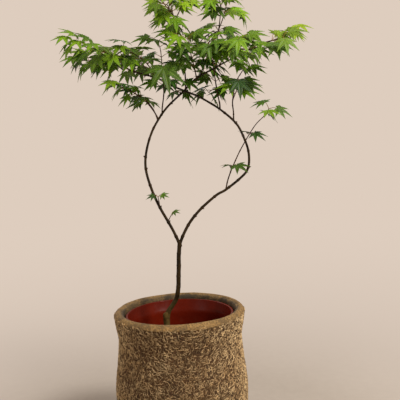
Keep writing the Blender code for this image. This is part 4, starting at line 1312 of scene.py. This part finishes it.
def leaf_pattern():
    """The lobe, row and column of each corner of a blade, the faces between them, and the edge round them."""
    ids, spec, faces = {}, [], []

    def corner(lobe, row, col):
        key = (lobe, row, col)
        if row == 0:
            key = "centre"
        elif row == ROWS:
            key = (lobe, "tip")
        elif row <= NOTCH_ROW and abs(col) == 2:
            key = ("side", lobe + (col > 0), row)
        if key not in ids:
            ids[key] = len(spec)
            spec.append((lobe, row, col))
        return ids[key]

    for lobe in range(len(LOBE_ANGLES)):
        for row in range(ROWS):
            for col in range(-2, 2):
                loop = [corner(lobe, row, col), corner(lobe, row, col + 1), corner(lobe, row + 1, col + 1),
                        corner(lobe, row + 1, col)]
                loop = list(dict.fromkeys(loop))
                if len(loop) > 2:
                    faces.append(loop)
    used = {(a, b) for face in faces for a, b in zip(face, face[1:] + face[:1])}
    rim = [(a, b) for a, b in sorted(used) if (b, a) not in used]
    return np.array(spec), faces, rim


PATTERN, LEAF_FACES, LEAF_RIM = leaf_pattern()


def leaf_blade(rng):
    """A blade of unit length, as its upper side's corners and how far along and across its lobe each lies."""
    lobe, row, col = PATTERN.T
    angles = LOBE_ANGLES + rng.uniform(-0.05, 0.05, 7)
    reach = LOBE_REACH * rng.uniform(0.94, 1.04, 7)
    sides = SIDE_ANGLES + np.concatenate([[0], rng.uniform(-0.03, 0.03, 6), [0]])
    side_reach = SIDE_REACH * rng.uniform(0.95, 1.05, 8)
    way = np.stack([np.sin(angles), np.cos(angles)], 1)[lobe]
    right = np.stack([way[:, 1], -way[:, 0]], 1)
    border = lobe + (col > 0)
    notch = np.stack([np.sin(sides), np.cos(sides)], 1)[border] * side_reach[border][:, None]
    notch_out = np.abs((notch * right).sum(1))
    notch_on = (notch * way).sum(1)
    low = np.clip(row / NOTCH_ROW, 0, 1)
    t = np.clip((row - NOTCH_ROW) / (ROWS - NOTCH_ROW), 0, 1) ** 0.92
    middle_on = side_reach[lobe] * 0.5 + side_reach[lobe + 1] * 0.5
    long = reach[lobe]
    axis = way * (middle_on * low + (long - middle_on) * t)[:, None]
    bulge = 0.062 * np.sin(np.pi * t ** 0.62) * (1 - t) ** 0.4 * long
    half = notch_out * (1 - t) ** 1.2 + bulge
    tooth = np.where((row > NOTCH_ROW) & (row < ROWS - 1), np.where(row % 2 == 1, 1.15, 0.86), 1.0)
    half = half * tooth
    on = notch_on + (long - notch_on) * t + np.where((row % 2 == 1) & (row > NOTCH_ROW), 0.012, 0.0) * (1 - t)
    edge_high = way * on[:, None] + right * (np.sign(col) * half)[:, None]
    edge = np.where((row <= NOTCH_ROW)[:, None], notch * low[:, None], edge_high)
    share = np.abs(col)[:, None] / 2.0
    flat = axis * (1 - share) + edge * share
    r2 = (flat ** 2).sum(1)
    fold = rng.uniform(0.15, 0.45)
    cup = rng.uniform(-0.10, 0.10)
    curl = rng.uniform(-0.02, 0.07, 7)[lobe]
    width = np.where(row <= NOTCH_ROW, low * 0.12, np.maximum(half, 0.0))
    z = -BLADE_DROOP * r2 + fold * width * (np.abs(col) / 2.0) ** 1.3 - curl * t ** 2 + cup * flat[:, 0] ** 2
    z += 0.010 * np.sin(row * 1.7 + lobe * 2.1) * (np.abs(col) / 2.0) * (t > 0) * (1 - t)
    along = np.where(row <= NOTCH_ROW, low * 0.35, 0.35 + 0.65 * t)
    return np.column_stack([flat, z]), along, col / 2.0


BLADE = 0.00038  # thickness


def add_leaf(leaf, start, spot, length, tint, young, rng):
    """A blade with both its sides, and its petiole."""
    unit, along, across = leaf_blade(rng)
    count = len(unit)
    turn = np.array(spot.to_3x3())
    top = unit * length
    under = top - np.array([0.0, 0.0, BLADE])
    corners = np.vstack([top, under]) @ turn.T + np.array(spot.translation)
    faces = [tuple(f) for f in LEAF_FACES] + [tuple(count + k for k in reversed(f)) for f in LEAF_FACES]
    faces += [(b, a, count + a, count + b) for a, b in LEAF_RIM]
    uv = np.column_stack([np.tile(across, 2), np.tile(along, 2)])
    leaf.add(corners, faces, uv=uv, tint=tint, young=young, stalk=0.0)
    knee = spot @ Vector((0.0, -KNEE * length, 0.0))
    heel = spot @ Vector((0.0, 0.03 * length, -BLADE * 0.6))
    route = smooth_route([start, start.lerp(knee, 0.55) + UP * 0.03 * length, knee, heel], 5)
    thick = [0.00062 - 0.00018 * k / (len(route) - 1) for k in range(len(route))]
    thick[0] *= 1.5
    corners, faces, uv = sweep(route, thick, 6)
    red = [0.85 - 0.5 * k / len(corners) for k in range(len(corners))]
    leaf.add(corners, faces, uv=[(0.5, 0.1)] * len(corners), tint=tint, young=young, stalk=red)


for number, (name, (*_, leaves)) in enumerate(SHOOTS.items()):
    node = frame["nodes"][name]
    tree = kdtree.KDTree(len(node.data.vertices))
    for v in node.data.vertices:
        tree.insert(v.co, v.index)
    tree.balance()
    rng = np.random.default_rng(100 + number)
    leaf = Gathered("tint", "young", "stalk")
    route = routes[name]
    for share, kind, roll, length in leaves:
        root, along = at_place(route, share * (len(route) - 1) - (0.12 if share == 1.0 else 0.0))
        for sign in (1, -1) if kind == "pair" else (1,):
            found = found_leaf(tree, root, along, kind, sign, roll, length * MM * LEAF_SCALE)
            if not found:  # the solid model found no clear place for this leaf
                continue
            start, spot, long = found
            centre = spot.translation
            # Painted light and shade: a leaf's green is painted lighter the higher it hangs, and darker at
            # the back and on the shaded shoots, on top of a random tone
            light = 0.14 + 0.60 * (centre.z - 0.70) / 0.30 - 0.30 * (centre.y > 0.03)
            light += rng.uniform(-0.45, 0.48) - SHADED.get(name, 0.0)
            young = max(0.0, (centre.x - 0.20) * 9.0) + max(0.0, (centre.z - 0.90) * 2.2)
            young += rng.uniform(-0.1, 0.15)
            tint = float(np.clip(light, 0.0, 1.0))
            add_leaf(leaf, start, spot, long, tint, float(np.clip(young, 0.0, 0.8)), rng)
    add_piece(f"leaves_{name}", leaf.mesh(f"leaves_{name}"), leaf_green, slot="maple_leaf", stands_for=[name])


# ------------------------------------------------------------------------------------ camera, light and floor

CAMERA_SPOT = Vector((0.050, -0.868, PLANTER_HEIGHT + 0.2276))
CAMERA_TURN = -2.2  # degrees round the upright, looking level

lens = bpy.data.cameras.new("camera")
lens.sensor_width = 36.0
lens.lens = 38.7
lens.shift_y = -0.018
camera = in_scene("camera", lens)
level = Matrix.Rotation(math.radians(90.0), 4, "X") @ Matrix.Rotation(math.radians(CAMERA_TURN), 4, "Z")
camera.matrix_world = Matrix.Translation(CAMERA_SPOT) @ level
bpy.context.scene.camera = camera

BACKDROP = rgb(222, 205, 190)
FLOOR_NEAR, FLOOR_FAR = 0.4, 9.0  # distances over which the floor fades into the backdrop
FLOOR_HALF = 12.0
WORLD_LIGHT = 0.72  # the backdrop's strength as light, where the camera sees it at 1


def floor_look():
    """A pale matt floor that takes on the backdrop's own colour away from the planter."""
    look = plain_mottle_look("floor", rgb(174, 166, 157), rgb(181, 173, 164), 0.9, 2.0, 40.0, 0.02, 0.0002)
    tree = look.node_tree
    span = distance_out(tree, tree.nodes.new("ShaderNodeTexCoord").outputs["Object"])
    nearness = maths(tree, "DIVIDE", 1.0, span)
    far = ranged(tree, nearness, 1.0 / FLOOR_FAR, 1.0 / FLOOR_NEAR, 1.0, 0.0)
    glow = tree.nodes.new("ShaderNodeEmission")
    glow.inputs["Color"].default_value = BACKDROP
    blend = tree.nodes.new("ShaderNodeMixShader")
    linked(tree, far, blend.inputs[0])
    linked(tree, tree.nodes["Principled BSDF"].outputs[0], blend.inputs[1])
    linked(tree, glow.outputs[0], blend.inputs[2])
    linked(tree, blend.outputs[0], tree.nodes["Material Output"].inputs["Surface"])
    return look


corners = [(x * FLOOR_HALF, y * FLOOR_HALF, -0.0005) for x, y in ((-1, -1), (1, -1), (1, 1), (-1, 1))]
floor_mesh = mesh_of("floor", corners, [(0, 1, 2, 3)])
floor = in_scene("floor", floor_mesh)
floor_mesh.materials.append(floor_look())

world = bpy.data.worlds.new("studio")
bpy.context.scene.world = world
world.use_nodes = True
sky = world.node_tree.nodes["Background"]
sky.inputs["Color"].default_value = BACKDROP
seen = world.node_tree.nodes.new("ShaderNodeLightPath").outputs["Is Camera Ray"]
strength = ranged(world.node_tree, seen, 0.0, 1.0, WORLD_LIGHT, 1.0)
linked(world.node_tree, strength, sky.inputs["Strength"])
bpy.context.scene.view_settings.view_transform = "Standard"


def soft_light(name, spot, aim, size, power, colour):
    """A round area light at a spot, turned to its aim."""
    data = bpy.data.lights.new(name, "AREA")
    data.shape = "DISK"
    data.size = size
    data.energy = power
    data.color = colour
    light = in_scene(name, data)
    light.location = spot
    light.rotation_euler = (Vector(aim) - Vector(spot)).to_track_quat("-Z", "Y").to_euler()


soft_light("key", (1.2, -1.0, 1.8), (0.0, 0.0, 0.5), 0.5, 46.0, (1.0, 0.94, 0.86))
soft_light("fill", (-1.3, -1.0, 1.3), (0.0, 0.0, 0.5), 0.9, 3.0, (1.0, 0.95, 0.90))
soft_light("back", (-0.4, 1.4, 1.6), (0.0, 0.0, 0.6), 0.8, 4.0, (0.95, 0.97, 1.0))
